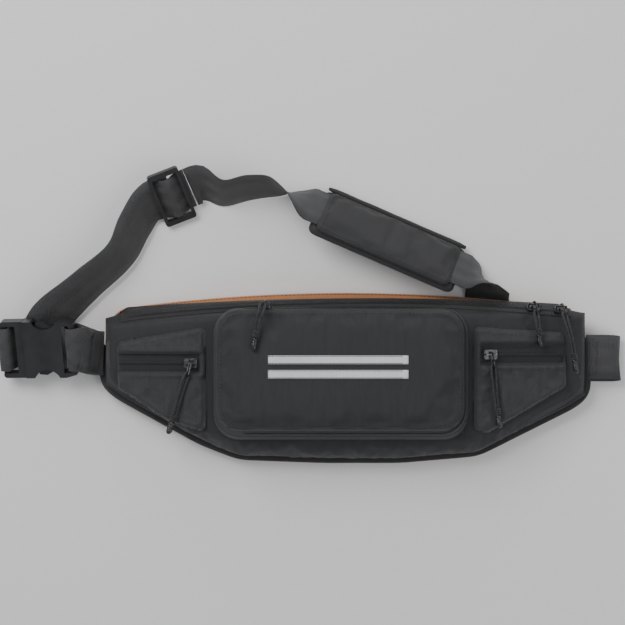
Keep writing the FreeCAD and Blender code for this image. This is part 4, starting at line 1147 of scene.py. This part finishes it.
def build_webbing():
    upper = [glide_station(16.5, -3.5), glide_station(11.2, -3.4), glide_station(6.4, -0.4), glide_station(2.6, 3.2),
             glide_station(-2.6, 3.2), glide_station(-6.4, -0.4), glide_station(-11.2, -3.4), glide_station(-18, -3.5),
             strap_station(-175.5, 124.5, 18.6, (0.60, 0.80), 45), strap_station(-185, 103.5, 20.7, (0.72, 0.69), 50),
             strap_station(-217, 73.5, 19.8, (0.74, 0.67), 46), strap_station(-245.5, 48.5, 15.4, (0.80, 0.60), 32)]
    wrap = [buckle_station(-8, 0.6, -10.8), buckle_station(-15.5, 0, -9.0), buckle_station(-21.5, 0, -5.4),
            buckle_station(-24.1, 0, 0), buckle_station(-24.9, 0, 3.6), buckle_station(-28.5, 0, 5.4),
            buckle_station(-32.8, 0, 4.2), buckle_station(-33.6, 0, 0), buckle_station(-32.4, 0, -6.0),
            buckle_station(-27, 0, -10.3), buckle_station(-18, 0, -12.0), buckle_station(-8, 0.8, -13.6)]
    lower = [strap_station(-243, 50.5, 11.9, (0.80, 0.60), 32), strap_station(-216, 75.4, 15.2, (0.74, 0.67), 46),
             strap_station(-184, 105.4, 15.9, (0.72, 0.69), 50), strap_station(-174.5, 126, 15.3, (0.60, 0.80), 45),
             glide_station(-16, -6.2), glide_station(-1.0, -5.5)]
    ribbon("adjust_loop_webbing", upper + wrap + lower, "buckle_male", "webbing", ["strap_adjust_loop"])
    route = [glide_station(17.2, -3.5), glide_station(25, -3.4),
             strap_station(-102, 151.5, 17.2, (1, 0.05), 57), strap_station(-80, 156, 17.4, (1, 0.10), 60),
             strap_station(-62, 156.6, 18.4, (1, -0.15), 68), strap_station(-50, 152.8, 20.2, (1, -0.36), 88),
             strap_station(-39.5, 147.6, 20.4, (1, -0.43), 114)]
    route += [pad_station(x) for x in (-71.5, -65.5, -30, 30, 65.5, 71.5)]
    route += [strap_station(109, 83.4, 20.5, (0.88, -0.47), 124), strap_station(115, 79.8, 20.1, (0.62, -0.78), 96),
              strap_station(118.3, 75.8, 18.3, (0.25, -1), 64), strap_station(119.1, 71.2, 11.6, (0.1, -1), 33),
              strap_station(119.4, 66.4, 4.2, (0, -1), 9), strap_station(119.5, 62.8, 1.8, (0, -1), 0),
              strap_station(119.5, 59.5, 1.35, (0, -1), 0), (Vector((119.5, 48, 1.2)), Vector((1, 0, 0))),
              (Vector((119.5, -6, 1.2)), Vector((1, 0, 0)))]
    ribbon("main_strap_webbing", route, "bag", "webbing", ["strap_main"])
    ribbon("main_strap_run", [(Vector((101, 12.5, 1.0)), Vector((0, 1, 0))), (Vector((200.2, 12.5, 1.0)),
           Vector((0, 1, 0)))], "bag", "webbing", [])
    loop = [(200.6, 12.5, 1.2), (208, 12.5, 1.4), (218, 12.5, 2.6), (226, 12.8, 5.2), (229, 13.6, 8.6),
            (226.4, 14.4, 11.8), (218, 15, 13.2), (209, 15, 13.6), (201.0, 15, 13.8)]
    ribbon("right_loop_webbing", [(Vector(p), Vector((0, 1, 0))) for p in loop], "bag", "webbing",
           ["right_webbing_loop"])
    tab = [(Vector((-201.2, 18, 18.0)), Vector((0, 1, 0))), (Vector((-211, 18.8, 21.0)), Vector((0, 0.99, 0.12))),
           buckle_station(36.0, 0, 4.4), buckle_station(31.8, 0, 7.9), buckle_station(26.2, 0, 7.9),
           buckle_station(23.5, 0, 3.4), buckle_station(23.5, 0, -3.4), buckle_station(26.2, 0, -7.9),
           buckle_station(31.8, 0, -7.9), buckle_station(36.0, 0, -4.4),
           (Vector((-211, 18.8, 16.9)), Vector((0, 0.99, 0.12))), (Vector((-201.2, 18, 15.4)), Vector((0, 1, 0)))]
    ribbon("left_tab_webbing", tab, "bag", "webbing", ["left_webbing_tab"])
    label = [(Vector((-203.2, 18.1, 21.6)), Vector((0, 1, 0.02))), (Vector((-210, 18.8, 25.2)),
             Vector((0, 0.99, 0.11)))]
    ribbon("plain_label", label, "bag", "label", ["woven_label"], 34.0, 0.5, 2.0)
    box = []
    for xa, ya, xb, yb in ((204, 0, 204, 30), (210, 0, 210, 30), (204, 0, 210, 0), (204, 30, 210, 30)):
        box += stitch_run([(Vector((xa, ya, 14.45)), Vector((0, 0, 1))), (Vector((xb, yb, 14.45)),
                          Vector((0, 0, 1)))], 3.0)
    stitches = join_prisms("right_loop_box_stitch", box)
    smooth(stitches)
    belongs(stitches, "bag", "webbing", "stitching")


# ---------------------------------------------------------------- the shoulder pad
def build_pad():
    corners = [(-65, -25), (65, -25), (65, 25), (-65, 25)]
    base_outline = Outline(corners, 7)
    base = pillow("pad_base", base_outline, 2.6,
                  lambda depth, x, y: -5.8 + 4.6 * rolled(depth, 3.2) + (lumps(x, y, 16, 8) * 0.2 if depth > 3
                                                                        else 0), -6.0)
    smooth(base)
    loosen(base, lambda p: p.z < -5.5 or abs(p.y) < 20.0 or p.z > -1.4, 1.0, 0.5)
    flap_outline = Outline([(-59, -24.6), (59, -24.6), (59, 20.8), (-59, 20.8)], 5)
    flap = pillow("pad_flap_cloth", flap_outline, 2.4,
                  lambda depth, x, y: 1.2 + 2.0 * rolled(depth, 3.0) + 0.7 * rolled(depth, 18)
                  + lumps(x, y, 15, 6) * 0.35 * min(1, depth / 8), 1.0)
    smooth(flap)
    loosen(flap, lambda p: p.z < 1.1 or flap_outline.depth(Vector((p.x, p.y)))[0] < 2.0, 3.0, 1.6, 0.02)
    return base, flap, flap_outline


def finish_pad(base, flap, outline):
    for piece in (base, flap):
        piece.matrix_world = placed(PAD)
    belongs(base, "bag", "pad_fabric", None, ["shoulder_pad"])
    belongs(flap, "pad_flap", "pad_fabric", None, ["pad_flap"])
    turn = PAD.to_3x3()
    loops = []
    for step in range(60):
        x = -62.5 + 125 * step / 59
        wide = 0.5 + 0.5 * min(1.0, (step + 1) / 4, (60 - step) / 4)
        wave = noise.noise(Vector((x / 14, 3.3, 0))) * 0.25
        broad, high = (2.1 + wave) * wide, (2.3 + wave) * wide
        loops.append([PAD @ Vector((x, 23 + broad * math.cos(a), 1.0 + high * math.sin(a)))
                      for a in (2 * math.pi * k / 14 for k in range(14))])
    roll = lofted("pad_rolled_edge", loops)
    smooth(roll)
    belongs(roll, "bag", "pad_fabric")
    bpy.context.view_layer.update()
    facing = turn @ Vector((0, 0, 1))
    hits = []
    for xa, ya, xb, yb in ((-56, -21.6, 56, -21.6), (56, -21.6, 56, 17.8), (56, 17.8, -56, 17.8),
                           (-56, 17.8, -56, -21.6)):
        for number in range(24):
            share = number / 24
            local = Vector((xa + (xb - xa) * share, ya + (yb - ya) * share, 20)) * MM
            found, point, _, _ = flap.ray_cast(local, Vector((0, 0, -1)))
            if found:
                hits.append((PAD @ (point / MM) + facing * 0.1, facing))
    seam("pad_flap_stitches", hits + hits[:1], "pad_flap", 3.0, slot="pad_fabric")


# ---------------------------------------------------------------- moulded and metal parts, kept from the CAD
HARDWARE = {
    "black_plastic": ["buckle_female", "buckle_male", "release_arm_upper", "release_arm_lower", "triglide"],
    "slider_metal": ["top_slider_a", "top_slider_b", "centre_slider", "left_slider", "right_slider",
                     "top_pull_a_link", "top_pull_b_link", "centre_pull_link", "left_pull_link", "right_pull_link"],
    "hook_and_loop": ["pad_hook_strip", "pad_loop_strip"],
    "lining_fabric": ["lining"],
    "foam": ["back_foam"],
}


def finish_hardware():
    for material, nodes in HARDWARE.items():
        for name in nodes:
            node = bpy.data.objects[name]
            node.data.materials.clear()
            node.data.materials.append(MATERIALS[material])
            if material in ("black_plastic", "slider_metal"):
                bevel = node.modifiers.new("edges", "BEVEL")
                bevel.width = (0.7 if material == "black_plastic" else 0.25) * MM
                bevel.segments = 3
                bevel.limit_method = "ANGLE"
                bevel.angle_limit = math.radians(38)
                bevel.harden_normals = True


# ---------------------------------------------------------------- the order of work
build_camera()
build_pulls()
build_studio()
build_back()
shell = build_front()
panel = build_centre_pocket()
pockets = [(name, *build_side_pocket(name)) for name in SIDES]
pad_base, pad_flap, flap_outline = build_pad()
run_cloth()
for pocket in pockets:
    finish_side_pocket(*pocket)
bpy.context.view_layer.update()
build_binding()
build_top_zip()
build_strips(panel)
build_webbing()
finish_pad(pad_base, pad_flap, flap_outline)
finish_hardware()
